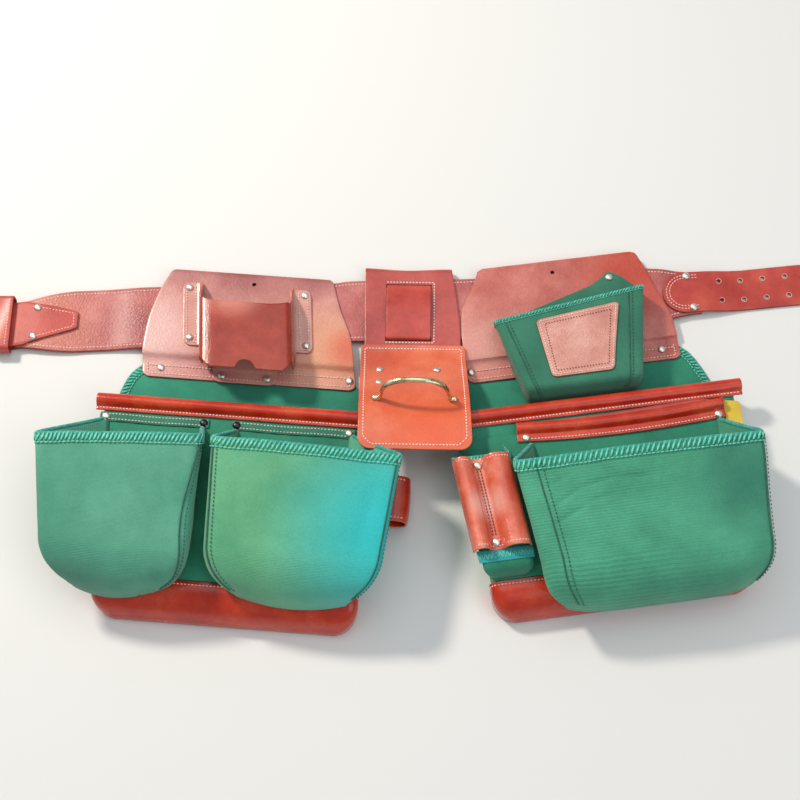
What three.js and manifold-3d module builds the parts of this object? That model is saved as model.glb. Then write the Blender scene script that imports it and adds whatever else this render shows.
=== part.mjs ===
// A leather and green fabric tool belt, laid out flat on its back: a padded waist belt with its buckle strap
// and billet, a two-pouch bag on one side, a hammer holder in the middle and a one-pouch bag on the other.
// Millimetres, +X along the belt to the billet's tip, +Y towards the waist edge, +Z up from the floor.
import * as THREE from "three";
import { mergeVertices } from "three/addons/utils/BufferGeometryUtils.js";
import Module from "manifold-3d";

const wasm = await Module();
wasm.setup();

// Driving sizes. The tables below hold shares of these sizes.
const gap = 0.3; // between two pieces that are sewn or riveted face to face
const sliver = 0.02; // the finest detail that a cut keeps
const leather = 2.5; // saddle leather of the yokes, rims, boots and holster
const heavyLeather = 3; // harness leather of the hammer holder and the straps
const fabric = 3; // foam-backed green fabric of the bags
const thinFabric = 2; // single fabric of the yoke pocket and the hem strips
const belt = { width: 76, thick: 5, left: 449, right: 330 };
const billet = { width: 50, reach: 485, start: 285, holeRadius: 2.6, holePitch: 26, holeRows: 24, pairs: 5 };
const buckleStrap = { width: 54, reach: 482, tip: 380, under: 412 };
const keeper = { length: 20, width: 63, space: 5, thick: 2.2 };
const buckle = { width: 72, length: 58, bar: 4.6, prong: 4, prongSpread: 24 };
const rivet = { radius: 4.4, height: 2 };
const main = { depth: 32, edge: 12, roll: 30, corner: 22 }; // the large bag behind the pouches
const pouch = { depth: 50, edge: 14, roll: 45, corner: 36, crown: 5 };
const sidePouch = { depth: 20, edge: 6, roll: 12, corner: 10 };
const pocket = { depth: 34, edge: 7, roll: 12, corner: 16, half: 87, drop: 124 };
const rim = { flange: 11, flat: 0.55, rise: 7, puff: 6.5, thick: 2.4 };
const pouchRim = { flange: 15, flat: 0.34, rise: 6, puff: 5, thick: 2.4 };
const holder = { width: 105, plateWidth: 121, top: 51, tongue: 112, plateTop: 48.5, drop: 189 };
const holderStrap = { width: 50, height: 66, middle: -6.5, rise: 3 };
const hammerLoop = { span: 74, height: 36, wide: 6.5, thick: 3.5, foot: 9, lean: 10, down: 130 };
const yoke = { width: 241, band: 19, hem: 23, headroom: 12.5, rightHeadroom: 17, holeRadius: 2.5 };
const holster = {
  width: 102,
  depth: 32,
  flange: 22,
  top: 32,
  mouth: 13,
  flangeLow: -45,
  drop: 83,
  edge: 7,
  notch: 11,
  slant: -0.13,
};
const holsterFloor = { width: 73, middle: 3.5 };
const patch = { thick: 1.8 };
const sleeve = { width: 60, height: 100, rise: 14, lean: 0.075 };
const toolLoop = { reach: 46, length: 50, high: 24, down: 0.6 };
const liner = { width: 24, length: 40 };
const strip = { height: 11 };
const leftBag = { width: 281, drop: 355, mouth: 129, boot: 34, turn: -4.5, across: -185.5, up: -6.3 };
const rightBag = { width: 285, drop: 353, mouth: 137, boot: 34, turn: 7.5, across: 177, up: 8.8 };

// Levels up from the floor, each resting on the one before.
const beltFloor = heavyLeather + gap;
const frontLeaf = beltFloor + belt.thick + gap;
const yokeTop = frontLeaf + leather;
const bandFloor = fabric + gap;
const bandTop = bandFloor + leather;
const panelFloor = bandFloor + main.depth + gap;
const bootClearance = 2.5 * gap;
const bootTop = bandFloor + main.depth + bootClearance + leather;
const pouchFloor = Math.max(panelFloor + fabric, bootTop) + gap;
const plateFloor = pouchFloor + sidePouch.depth + 2 * gap; // the hammer plate's foot lies over the side pouch
const bandStart = -(belt.width / 2 + yoke.band);

const colour = {
  leather: new THREE.MeshStandardMaterial({ color: 0xb8402f, roughness: 0.42, metalness: 0 }),
  yokeLeather: new THREE.MeshStandardMaterial({ color: 0xa85a55, roughness: 0.5, metalness: 0 }),
  green: new THREE.MeshStandardMaterial({ color: 0x2c8a6a, roughness: 0.8, metalness: 0 }),
  steel: new THREE.MeshStandardMaterial({ color: 0xd8d6cf, roughness: 0.25, metalness: 1 }),
  yellow: new THREE.MeshStandardMaterial({ color: 0xf2cf3f, roughness: 0.7, metalness: 0 }),
};

const mix = (a, b, share) => a + (b - a) * share;
const line2 = (pairs) => pairs.map(([a, b]) => new THREE.Vector2(a, b));

// The value of one column of a table at a place along it, read straight between its rows.
function readTable(table, place, at, column) {
  const next = Math.max(1, Math.min(table.length - 1, table.findIndex((row) => row[place] >= at)));
  const [a, b] = [table[next - 1], table[next]];
  const share = THREE.MathUtils.clamp((at - a[place]) / (b[place] - a[place]), 0, 1);
  return mix(a[column], b[column], share);
}

function solidOf(geometry) {
  const bare = geometry.clone();
  bare.deleteAttribute("normal");
  bare.deleteAttribute("uv");
  const merged = mergeVertices(bare, 1e-4);
  return new wasm.Manifold(
    new wasm.Mesh({
      numProp: 3,
      vertProperties: new Float32Array(merged.attributes.position.array),
      triVerts: new Uint32Array(merged.index.array),
    }),
  );
}

// The solid as a geometry, without the slivers that a cut leaves.
function geometryOf(solid) {
  const mesh = solid.asOriginal().simplify(sliver).getMesh();
  const geometry = new THREE.BufferGeometry();
  geometry.setAttribute("position", new THREE.BufferAttribute(mesh.vertProperties, 3));
  geometry.setIndex(new THREE.BufferAttribute(mesh.triVerts, 1));
  return geometry;
}

// A geometry from points and triangles, turned inside out if its faces point inwards.
function closedGeometry(points, triangles) {
  let volume = 0;
  for (const [a, b, c] of triangles)
    volume += points[a].dot(new THREE.Vector3().crossVectors(points[b], points[c]));
  const facing = volume < 0 ? triangles.map(([a, b, c]) => [a, c, b]) : triangles;
  const geometry = new THREE.BufferGeometry().setFromPoints(points);
  geometry.setIndex(facing.flat());
  return geometry;
}

// The closed wall between two grids of points that match row for row and column for column.
function wallBetween(outer, inner) {
  const rows = outer.length;
  const columns = outer[0].length;
  const points = [...outer.flat(), ...inner.flat()];
  const at = (side, r, c) => side * rows * columns + r * columns + c;
  const triangles = [];
  const quad = (a, b, c, d) => triangles.push([a, b, c], [a, c, d]);
  const last = columns - 1;
  for (let r = 0; r + 1 < rows; r++) {
    for (let c = 0; c < last; c++) {
      quad(at(0, r, c), at(0, r, c + 1), at(0, r + 1, c + 1), at(0, r + 1, c));
      quad(at(1, r, c), at(1, r + 1, c), at(1, r + 1, c + 1), at(1, r, c + 1));
    }
    quad(at(0, r, 0), at(0, r + 1, 0), at(1, r + 1, 0), at(1, r, 0));
    quad(at(0, r, last), at(1, r, last), at(1, r + 1, last), at(0, r + 1, last));
  }
  for (let c = 0; c < last; c++) {
    quad(at(0, 0, c), at(1, 0, c), at(1, 0, c + 1), at(0, 0, c + 1));
    quad(at(0, rows - 1, c), at(0, rows - 1, c + 1), at(1, rows - 1, c + 1), at(1, rows - 1, c));
  }
  return closedGeometry(points, triangles);
}

// A solid through closed loops of points that match one for one, capped at both ends like its outline.
function loft(loops, outline) {
  const count = outline.length;
  const cap = THREE.ShapeUtils.triangulateShape(outline, []);
  const last = (loops.length - 1) * count;
  const triangles = [];
  for (const [a, b, c] of cap) triangles.push([a, b, c], [last + a, last + c, last + b]);
  const clockwise = THREE.ShapeUtils.isClockWise(outline);
  loops.slice(1).forEach((_, l) => {
    for (let i = 0; i < count; i++) {
      const [a, b] = [l * count + i, l * count + ((i + 1) % count)];
      const [c, d] = [a + count, b + count];
      triangles.push(...(clockwise ? [[a, b, d], [a, d, c]] : [[a, d, b], [a, c, d]]));
    }
  });
  return closedGeometry(loops.flat(), triangles);
}

// A line of points moved to its own left by a distance, with mitred corners.
function offsetLine(pairs, distance) {
  const line = line2(pairs);
  return line.map((point, i) => {
    const before = line[Math.max(i - 1, 0)];
    const after = line[Math.min(i + 1, line.length - 1)];
    const into = point.clone().sub(before);
    const out = after.clone().sub(point);
    if (i === 0) into.copy(out);
    if (i === line.length - 1) out.copy(into);
    const along = into.normalize().add(out.normalize()).normalize();
    const across = new THREE.Vector2(-along.y, along.x);
    const mitre = Math.max(across.dot(new THREE.Vector2(-out.y, out.x)), 0.5);
    return point.clone().addScaledVector(across, distance / mitre);
  });
}

// The closed outline of a sheet of one thickness that follows a line of points.
function foldedSheet(pairs, thickness) {
  return [...offsetLine(pairs, thickness / 2), ...offsetLine(pairs, -thickness / 2).reverse()];
}

const sheetShape = (pairs, thickness) => new THREE.Shape(foldedSheet(pairs, thickness));

// A closed outline with its corners rounded to one radius, or to a radius of each corner's own.
function roundedShape(pairs, radius) {
  const corners = line2(pairs);
  const shape = new THREE.Shape();
  corners.forEach((corner, i) => {
    const before = corners[(i + corners.length - 1) % corners.length];
    const after = corners[(i + 1) % corners.length];
    const wanted = Array.isArray(radius) ? radius[i] : radius;
    const size = Math.min(wanted, corner.distanceTo(before) / 2.1, corner.distanceTo(after) / 2.1);
    const start = corner.clone().add(before.clone().sub(corner).setLength(size));
    const end = corner.clone().add(after.clone().sub(corner).setLength(size));
    if (i === 0) shape.moveTo(start.x, start.y);
    else shape.lineTo(start.x, start.y);
    shape.quadraticCurveTo(corner.x, corner.y, end.x, end.y);
  });
  shape.closePath();
  return shape;
}

function slab(shape, low, high, curveSegments = 3) {
  const options = { depth: high - low, bevelEnabled: false, curveSegments };
  return new THREE.ExtrudeGeometry(shape, options).translate(0, 0, low);
}

// A profile drawn in (y, z), pushed along X between two ends.
function pushedAlongX(shape, from, to) {
  const turn = new THREE.Matrix4().makeBasis(
    new THREE.Vector3(0, 1, 0),
    new THREE.Vector3(0, 0, 1),
    new THREE.Vector3(1, 0, 0),
  );
  return slab(shape, from, to).applyMatrix4(turn);
}

// A profile drawn in (x, z), pushed along Y between two ends.
function pushedAlongY(shape, low, high) {
  const turn = new THREE.Matrix4().makeBasis(
    new THREE.Vector3(1, 0, 0),
    new THREE.Vector3(0, 0, 1),
    new THREE.Vector3(0, -1, 0),
  );
  return slab(shape, -high, -low).applyMatrix4(turn);
}

// What is left of a geometry inside an outline drawn on the floor.
function trimmed(geometry, shape) {
  return geometryOf(solidOf(geometry).intersect(solidOf(slab(shape, -50, 300))));
}

function without(geometry, ...cutters) {
  let solid = solidOf(geometry);
  for (const cutter of cutters) solid = solid.subtract(solidOf(cutter));
  return geometryOf(solid);
}

function joined(...geometries) {
  return geometryOf(wasm.Manifold.union(geometries.map(solidOf)));
}

function drill(x, y, radius, sides = 10) {
  const geometry = new THREE.CylinderGeometry(radius, radius, 400, sides);
  return geometry.rotateX(Math.PI / 2).translate(x, y, 0);
}

function blockBetween(low, high) {
  const size = high.map((value, i) => value - low[i]);
  const middle = high.map((value, i) => (value + low[i]) / 2);
  return new THREE.BoxGeometry(...size).translate(...middle);
}

// A block whose side view is drawn in (y, z), reaching as far to either side of X 0.
function sheetBlock(pairs, reach) {
  return pushedAlongX(new THREE.Shape(line2(pairs)), -reach, reach);
}

function piece(name, geometry, material) {
  const mesh = new THREE.Mesh(geometry, material);
  mesh.name = name;
  return mesh;
}

// A domed rivet cap standing at (x, y) on a face at height z that climbs by a slope along Y.
function rivetCap({ name, x, y, z, slope = 0 }) {
  const profile = line2([
    [0, 0],
    [rivet.radius, 0],
    [rivet.radius * 0.93, rivet.height * 0.5],
    [rivet.radius * 0.6, rivet.height * 0.9],
    [0, rivet.height],
  ]);
  const mesh = piece(name, new THREE.LatheGeometry(profile, 10).rotateX(Math.PI / 2), colour.steel);
  mesh.rotation.x = Math.atan(slope);
  mesh.position.set(x, y, z);
  return mesh;
}

// The belt's middle line and height off the floor, as shares of its left or right length.
const beltPath = [
  { along: -1.25, rise: -0.44, lift: 1 },
  { along: -0.93, rise: -0.22, lift: 1 },
  { along: -0.83, rise: -0.175, lift: 0 },
  { along: -0.73, rise: -0.148, lift: 0 },
  { along: -0.68, rise: -0.135, lift: 1 },
  { along: -0.21, rise: -0.075, lift: 1 },
  { along: -0.155, rise: -0.034, lift: 1 },
  { along: 0.16, rise: 0, lift: 1 },
  { along: 0.52, rise: 0.108, lift: 1 },
  { along: 0.86, rise: 0.239, lift: 1 },
  { along: 0.93, rise: 0.262, lift: 0.8 },
  { along: 1, rise: 0.289, lift: 0.35 },
  { along: 1.07, rise: 0.315, lift: 0 },
  { along: 1.5, rise: 0.475, lift: 0 },
];

function beltAt(x) {
  const along = x < 0 ? x / belt.left : x / belt.right;
  const y = readTable(beltPath, "along", along, "rise") * belt.width;
  return { x, y, floor: readTable(beltPath, "along", along, "lift") * beltFloor };
}

// A strap that follows the belt's line. Each station has its place, half width and height over the belt's.
function strap(rows, thick) {
  const bends = beltPath.map(({ along }) => along * (along < 0 ? belt.left : belt.right));
  const inside = bends.filter((x) => x > rows[0].x + 0.5 && x < rows.at(-1).x - 0.5);
  const wanted = inside.filter((x) => rows.every((row) => Math.abs(row.x - x) > 0.5));
  const read = (x, column) => readTable(rows, "x", x, column);
  const extra = wanted.map((x) => ({ x, half: read(x, "half"), over: read(x, "over") }));
  const stations = [...rows, ...extra].sort((a, b) => a.x - b.x);
  const grid = (up) =>
    stations.map(({ x, half, over }) => {
      const centre = beltAt(x);
      return [-1, 1].map((side) => new THREE.Vector3(x, centre.y + side * half, centre.floor + over + up));
    });
  return wallBetween(grid(thick), grid(0));
}

// Stations round a strap's half-round end, from its tip inwards.
function roundEnd(tip, inward, half, over) {
  return [8, 22, 40, 62, 90].map((degrees) => {
    const angle = THREE.MathUtils.degToRad(degrees);
    return { x: tip + inward * half * (1 - Math.cos(angle)), half: half * Math.sin(angle), over };
  });
}

function beltGroup() {
  const group = new THREE.Group();
  const shapes = [
    { along: -1, wide: 0.72 },
    { along: -0.97, wide: 0.78 },
    { along: -0.93, wide: 0.88 },
    { along: -0.89, wide: 0.96 },
    { along: -0.85, wide: 1 },
    { along: -0.83, wide: 1 },
    { along: 0.7, wide: 1 },
    { along: 0.86, wide: 0.87 },
    { along: 0.93, wide: 0.74 },
    { along: 1, wide: 0.68 },
  ];
  const place = (along) => along * (along < 0 ? belt.left : belt.right);
  const body = shapes.map(({ along, wide }) => ({ x: place(along), half: (wide * belt.width) / 2, over: 0 }));
  group.add(piece("belt_body", strap(body, belt.thick), colour.yokeLeather));

  const onBelt = belt.thick + gap;
  const half = billet.width / 2;
  const drops = [
    { x: belt.right + 4, half, over: onBelt },
    { x: belt.right + 18, half, over: onBelt * 0.8 },
    { x: belt.right + 38, half, over: onBelt * 0.2 },
    { x: belt.right + 52, half, over: 0 },
  ];
  const free = roundEnd(billet.reach, -1, half, 0).reverse();
  const stations = [...roundEnd(billet.start, 1, half, onBelt), ...drops, ...free];
  const holes = [];
  for (let i = 0; i < billet.pairs; i++) {
    const x = belt.right + 22 + i * billet.holePitch;
    const lean = (beltAt(x + 1).y - beltAt(x).y) * billet.holeRows;
    for (const side of [-0.5, 0.5])
      holes.push(drill(x - side * lean, beltAt(x).y + side * billet.holeRows, billet.holeRadius, 8));
  }
  group.add(piece("billet_strap", without(strap(stations, heavyLeather), ...holes), colour.leather));
  [-1, 1].forEach((side, i) => {
    const x = belt.right - 14;
    const z = beltAt(x).floor + onBelt + heavyLeather + gap;
    const y = beltAt(x).y + side * (half - 5.5);
    group.add(rivetCap({ name: `billet_strap_rivet_${i + 1}`, x: x - side * 3, y, z: z + 0.5 }));
  });

  // The buckle strap goes round the buckle's bar and holds the belt's end between its two leaves.
  const wide = buckleStrap.width / 2;
  const start = belt.left + 3;
  const over = [
    { x: -start, half: wide, over: onBelt },
    { x: -belt.left + 14, half: wide, over: onBelt },
    { x: -mix(belt.left, buckleStrap.tip, 0.9), half: wide * 0.46, over: onBelt },
    { x: -buckleStrap.tip, half: wide * 0.36, over: onBelt },
  ];
  const bend = beltAt(-start);
  const upper = beltFloor + onBelt + heavyLeather / 2;
  const lower = heavyLeather / 2;
  const turn = (upper - lower) / 2;
  const reach = -buckleStrap.reach;
  const loop = sheetShape(
    [
      [-start + 0.01, upper],
      [reach + turn, upper],
      [reach + turn * 0.3, upper - turn * 0.3],
      [reach, lower + turn],
      [reach + turn * 0.3, lower + turn * 0.3],
      [reach + turn, lower],
      [-start + 0.01, lower],
    ],
    heavyLeather,
  );
  const under = [
    { x: -start, half: wide, over: -beltFloor },
    { x: -belt.left + 10, half: wide, over: -beltFloor },
    { x: -buckleStrap.under - 8, half: wide * 0.8, over: -beltFloor },
  ];
  const skew = new THREE.Matrix4().makeTranslation(0, bend.y, 0);
  const folded = pushedAlongY(loop, -wide, wide).applyMatrix4(skew);
  const slot = (side) => {
    const y = bend.y + (side * buckle.prongSpread) / 2;
    const [low, high] = [y - buckle.prong / 2 - 1, y + buckle.prong / 2 + 1];
    return blockBetween([reach - 10, low, lower + 2], [reach + turn + 3, high, upper + 10]);
  };
  const sewn = joined(strap(over, heavyLeather), strap(under, heavyLeather), folded);
  group.add(piece("buckle_strap", without(sewn, slot(-1), slot(1)), colour.leather));
  [-1, 1].forEach((side, i) => {
    const x = -belt.left + 22 + side;
    const z = beltFloor + onBelt + heavyLeather + gap;
    group.add(rivetCap({ name: `buckle_strap_rivet_${i + 1}`, x, y: beltAt(x).y + side * (wide - 9.5), z }));
  });

  // The keeper is a leather band whose foot is sewn between the two leaves; the billet goes through above.
  const band = (grow, low, high) =>
    [
      [bend.y - keeper.width / 2 - grow, low - grow],
      [bend.y + keeper.width / 2 + grow, low - grow],
      [bend.y + keeper.width / 2 + grow, high + grow],
      [bend.y - keeper.width / 2 - grow, high + grow],
    ];
  const low = heavyLeather + gap + keeper.thick;
  const high = upper + heavyLeather / 2 + keeper.space;
  const ring = roundedShape(band(keeper.thick, low, high), 3.5);
  ring.holes.push(roundedShape(band(0, low, high), 1.5));
  const keeperEnd = -start - 0.6;
  const tube = pushedAlongX(ring, keeperEnd - keeper.length, keeperEnd);
  group.add(piece("belt_keeper", tube, colour.leather));

  // The buckle: a heel bar in the strap's loop, a frame, a roller bar and two prongs that rest on it.
  const bar = buckle.bar / 2;
  const heel = reach + heavyLeather / 2 + 2 * gap + bar;
  const roller = heel - buckle.length + bar;
  const level = (upper + lower) / 2;
  const wing = buckle.width / 2;
  const across = (x, radius) =>
    new THREE.CylinderGeometry(radius, radius, buckle.width - 2, 10).translate(x, bend.y, level);
  const rail = (side) => {
    const [a, b] = [bend.y + side * wing, bend.y + side * (wing - buckle.bar)].sort((p, q) => p - q);
    return blockBetween([roller - bar, a, level - bar], [heel + bar, b, level + bar]);
  };
  const prong = (side) => {
    const y = bend.y + (side * buckle.prongSpread) / 2;
    const far = [roller - bar - 2, y - buckle.prong / 2, level + bar + 0.4];
    return joined(
      blockBetween(far, [heel, y + buckle.prong / 2, level + bar + 3.4]),
      blockBetween([heel - bar, y - buckle.prong / 2, level], [heel, y + buckle.prong / 2, level + bar + 2]),
    );
  };
  const frame = joined(across(heel, bar), across(roller, bar + 0.7), rail(-1), rail(1), prong(-1), prong(1));
  group.add(piece("belt_buckle", frame, colour.steel));
  return group;
}

// The rows of a bag's wall from its mouth to its closed bottom, at a distance outside its face.
function bagRow(bag, out, t, degrees) {
  const rollTop = bag.bottom + bag.roll;
  const angle = THREE.MathUtils.degToRad(degrees);
  const rolled = degrees < 90;
  const depth = rolled ? (bag.lowDepth + out) * Math.sin(angle) : mix(bag.depth, bag.lowDepth, t) + out;
  const y = (top) => (rolled ? rollTop - (bag.roll + out) * Math.cos(angle) : mix(top, rollTop, t));
  const radius = bag.corner + out;
  const inset = (height) => {
    const below = Math.min(Math.max(bag.bottom + bag.corner - height, 0), radius);
    return radius - Math.sqrt(radius * radius - below * below);
  };
  const side = (name, sign) => {
    const inward = sign * (inset(y(bag.mouth[name].y)) - out);
    return {
      back: mix(bag.back[name].x, bag.low[name].back, t) + inward,
      front: mix(bag.mouth[name].x, bag.low[name].front, t) + inward,
      backY: y(bag.back[name].y),
      frontY: y(bag.mouth[name].y),
    };
  };
  return { depth, left: side("left", 1), right: side("right", -1) };
}

function bagRows(bag, out) {
  const straight = bag.downs.map((t) => bagRow(bag, out, t, 90));
  return [...straight, ...[60, 36, 16, 0].map((degrees) => bagRow(bag, out, 1, degrees))];
}

// A point across the front of a row, which swells by the bag's crown in the middle.
function acrossFront(bag, row, u) {
  const swell = 1 + ((bag.crown ?? 0) / bag.depth) * (1 - (2 * u - 1) ** 2);
  return new THREE.Vector3(
    mix(row.left.front, row.right.front, u),
    mix(row.left.frontY, row.right.frontY, u),
    row.depth * swell + bag.floor,
  );
}

// One row of a bag's wall: up one gusset, round the edge, across the front and down the other gusset.
function bagSection(bag, row) {
  const up = (side, s) => {
    const y = mix(side.backY, side.frontY, Math.pow(s, bag.slump));
    return new THREE.Vector3(mix(side.back, side.front, s), y, s * row.depth + bag.floor);
  };
  const span = row.right.front - row.left.front;
  const edge = Math.min(bag.edge, row.depth * 0.8, span * 0.3);
  const turn = (side, u) => {
    const from = up(side, 1 - edge / Math.max(row.depth, 0.01));
    return new THREE.QuadraticBezierCurve3(from, up(side, 1), acrossFront(bag, row, u)).getPoints(3);
  };
  return [
    up(row.left, 0),
    ...turn(row.left, edge / span),
    ...[0.3, 0.5, 0.7].map((u) => acrossFront(bag, row, u)),
    ...turn(row.right, 1 - edge / span).reverse(),
    up(row.right, 0),
  ];
}

const bagSkin = (bag, out) => bagRows(bag, out).map((row) => bagSection(bag, row));
const bagWall = (bag, thickness) => wallBetween(bagSkin(bag, 0), bagSkin(bag, -thickness));

// A bag with a sheet across the back of its foot, which closes it where it hangs past what carries it.
function bagWithFoot(bag, thickness) {
  const rows = bagRows(bag, -thickness / 2).filter((row) => row.left.backY < bag.bottom + bag.roll + gap);
  const left = rows.map((row) => [row.left.back, row.left.backY]);
  const right = rows.map((row) => [row.right.back, row.right.backY]).reverse();
  const foot = slab(roundedShape([...left, ...right], 0), bag.floor, bag.floor + thinFabric);
  return joined(bagWall(bag, thickness), foot);
}

// A flat panel laid on a bag's front face, between shares across it and down its straight part.
function onFront(bag, corners, thickness) {
  const grid = (out) =>
    [0, 0.33, 0.67, 1].map((down) => {
      const v = mix(corners.top, corners.bottom, down);
      const row = bagRow(bag, out, v, 90);
      const left = mix(corners.topLeft, corners.bottomLeft, down);
      const right = mix(corners.topRight, corners.bottomRight, down);
      return [0, 0.25, 0.5, 0.75, 1].map((u) => acrossFront(bag, row, mix(left, right, u)));
    });
  return wallBetween(grid(gap + thickness), grid(gap));
}

// A rolled leather rim. Its line has the edge's points from one end to the other.
function rolledRim(line, hairpin, wall, size = rim) {
  const front = size.thick / 2 + gap;
  const back = hairpin ? -(wall + gap + size.thick / 2) : -(wall - size.thick / 2);
  const centre = [
    [-size.flange, front],
    [-size.flange * size.flat, front],
    [-size.flange * size.flat * 0.45, front + size.puff * 0.7],
    [size.rise * 0.3, front + size.puff],
    [size.rise * 0.85, front + size.puff * 0.45],
    [size.rise * 1.05, (front + back) / 2],
    [size.rise * 0.8, back],
    ...(hairpin ? [[-size.flange * 0.7, back]] : []),
  ];
  const outline = foldedSheet(centre, size.thick);
  const out = new THREE.Vector3(0, 0, 1);
  const loops = line.map((point, i) => {
    const next = line[Math.min(i + 1, line.length - 1)];
    const along = next.clone().sub(line[Math.max(i - 1, 0)]).normalize();
    const past = new THREE.Vector3().crossVectors(out, along).normalize();
    return outline.map((p) => point.clone().addScaledVector(past, p.x).addScaledVector(out, p.y));
  });
  return loft(loops, outline);
}

// The edge of a bag's mouth across its front, reaching past both corners by a share of its width.
function mouthLine(bag, overhang) {
  const row = bagRow(bag, 0, 0, 90);
  return [-overhang, 0.12, 0.3, 0.5, 0.7, 0.88, 1 + overhang].map((u) => {
    const point = acrossFront(bag, row, THREE.MathUtils.clamp(u, 0, 1));
    return point.setX(mix(row.left.front, row.right.front, u));
  });
}

function mainRim(bag) {
  const taller = { ...bag, downs: [-0.015, 0.5, 1] };
  const clearance = wallBetween(bagSkin(taller, gap), bagSkin(taller, -fabric - gap));
  return without(rolledRim(mouthLine(bag, 0.008), true, fabric), clearance);
}

// The leather boot round the bottom of a bag, standing on the floor, with a leaf that turns under it.
function bootSolid(bag, height) {
  const skirt = (out) => {
    const rows = bagSkin(bag, out).map((row) => [row[0].clone().setZ(0), ...row, row.at(-1).clone().setZ(0)]);
    return [...rows, rows.at(-1).map((point) => point.clone().setZ(0))];
  };
  const wide = leftBag.width * 2;
  const cut = bag.bottom + height;
  const window = roundedShape([[-wide, cut], [wide, cut], [wide, -2 * wide], [-wide, -2 * wide]], 0);
  const wall = trimmed(wallBetween(skirt(bootClearance + leather), skirt(bootClearance)), window);
  const leafTop = bag.bottom + bag.roll * 0.6;
  const rows = bagRows(bag, bootClearance + leather / 2).filter((row) => row.left.backY < leafTop);
  const left = rows.map((row) => [row.left.back, row.left.backY]);
  const right = rows.map((row) => [row.right.back, row.right.backY]).reverse();
  return joined(wall, slab(roundedShape([...left, ...right], 0), 0, leather));
}

// The outline of the panel behind a bag: the rows above the mouth, then down to the boot's leaf.
function backOutline(bag, rowsAbove) {
  const foot = [bagRow(bag, 0, 1, 90), bagRow(bag, 0, 1, 60)];
  const left = [
    ...rowsAbove.map((row) => [row.left, row.y]),
    ...foot.map((row) => [row.left.back, row.left.backY - gap]),
  ];
  const right = [
    ...rowsAbove.map((row) => [row.right, row.y]),
    ...foot.map((row) => [row.right.back, row.right.backY - gap]),
  ];
  return roundedShape([...left, ...right.reverse()], 2);
}

// The leather yoke: one hide folded over the belt, its front leaf sewn down in a band below the belt.
function yokeSolid(rows, top, hangHole) {
  const half = yoke.width / 2;
  const bottom = bandStart - yoke.hem - 4;
  const front = frontLeaf + leather / 2;
  const back = leather / 2;
  const fold = (front - back) / 2;
  const crest = top - leather / 2 - fold * 0.5;
  const centre = [
    [bottom - 20, bandFloor + leather / 2],
    [bandStart - 7, bandFloor + leather / 2],
    [bandStart, front],
    [crest, front],
    [crest + fold * 0.35, front - fold * 0.35],
    [crest + fold * 0.5, back + fold],
    [crest + fold * 0.35, back + fold * 0.35],
    [crest, back],
    [bandStart + gap, back],
  ];
  const folded = pushedAlongX(sheetShape(centre, leather), -half * 1.2, half * 1.2);
  const edge = (side) => rows.map((row) => [row[side] * half, mix(top + 2, bottom, row.down)]);
  const shape = roundedShape([...edge("left"), ...edge("right").reverse()], 5);
  return without(trimmed(folded, shape), drill(hangHole.across * half, top - hangHole.drop, yoke.holeRadius));
}

function addRivets(group, rivets) {
  const counts = {};
  for (const row of rivets) {
    counts[row.on] = (counts[row.on] ?? 0) + 1;
    group.add(rivetCap({ ...row, name: `${row.on}_rivet_${counts[row.on]}` }));
  }
}

// A bag whose mouth, back and foot are given as shares of a half width and a drop.
function bagFrom(half, drop, row, size) {
  const side = (name) => ({
    back: { x: row.back[name] * half, y: -drop * (row.back[name + "Y"] ?? row.back.y) },
    mouth: { x: row.mouth[name] * half, y: -drop * (row.mouth[name + "Y"] ?? row.mouth.y) },
    low: { back: row.low[name + "Back"] * half, front: row.low[name] * half },
  });
  const [left, right] = [side("left"), side("right")];
  return {
    crown: 0,
    lowDepth: size.depth * (size.taper ?? 1),
    ...size,
    bottom: -drop * row.bottom,
    back: { left: left.back, right: right.back },
    mouth: { left: left.mouth, right: right.mouth },
    low: { left: left.low, right: right.low },
  };
}

function placeBag(group, bag) {
  group.rotation.z = THREE.MathUtils.degToRad(bag.turn);
  group.position.set(bag.across, bag.up, 0);
  return group;
}

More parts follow.
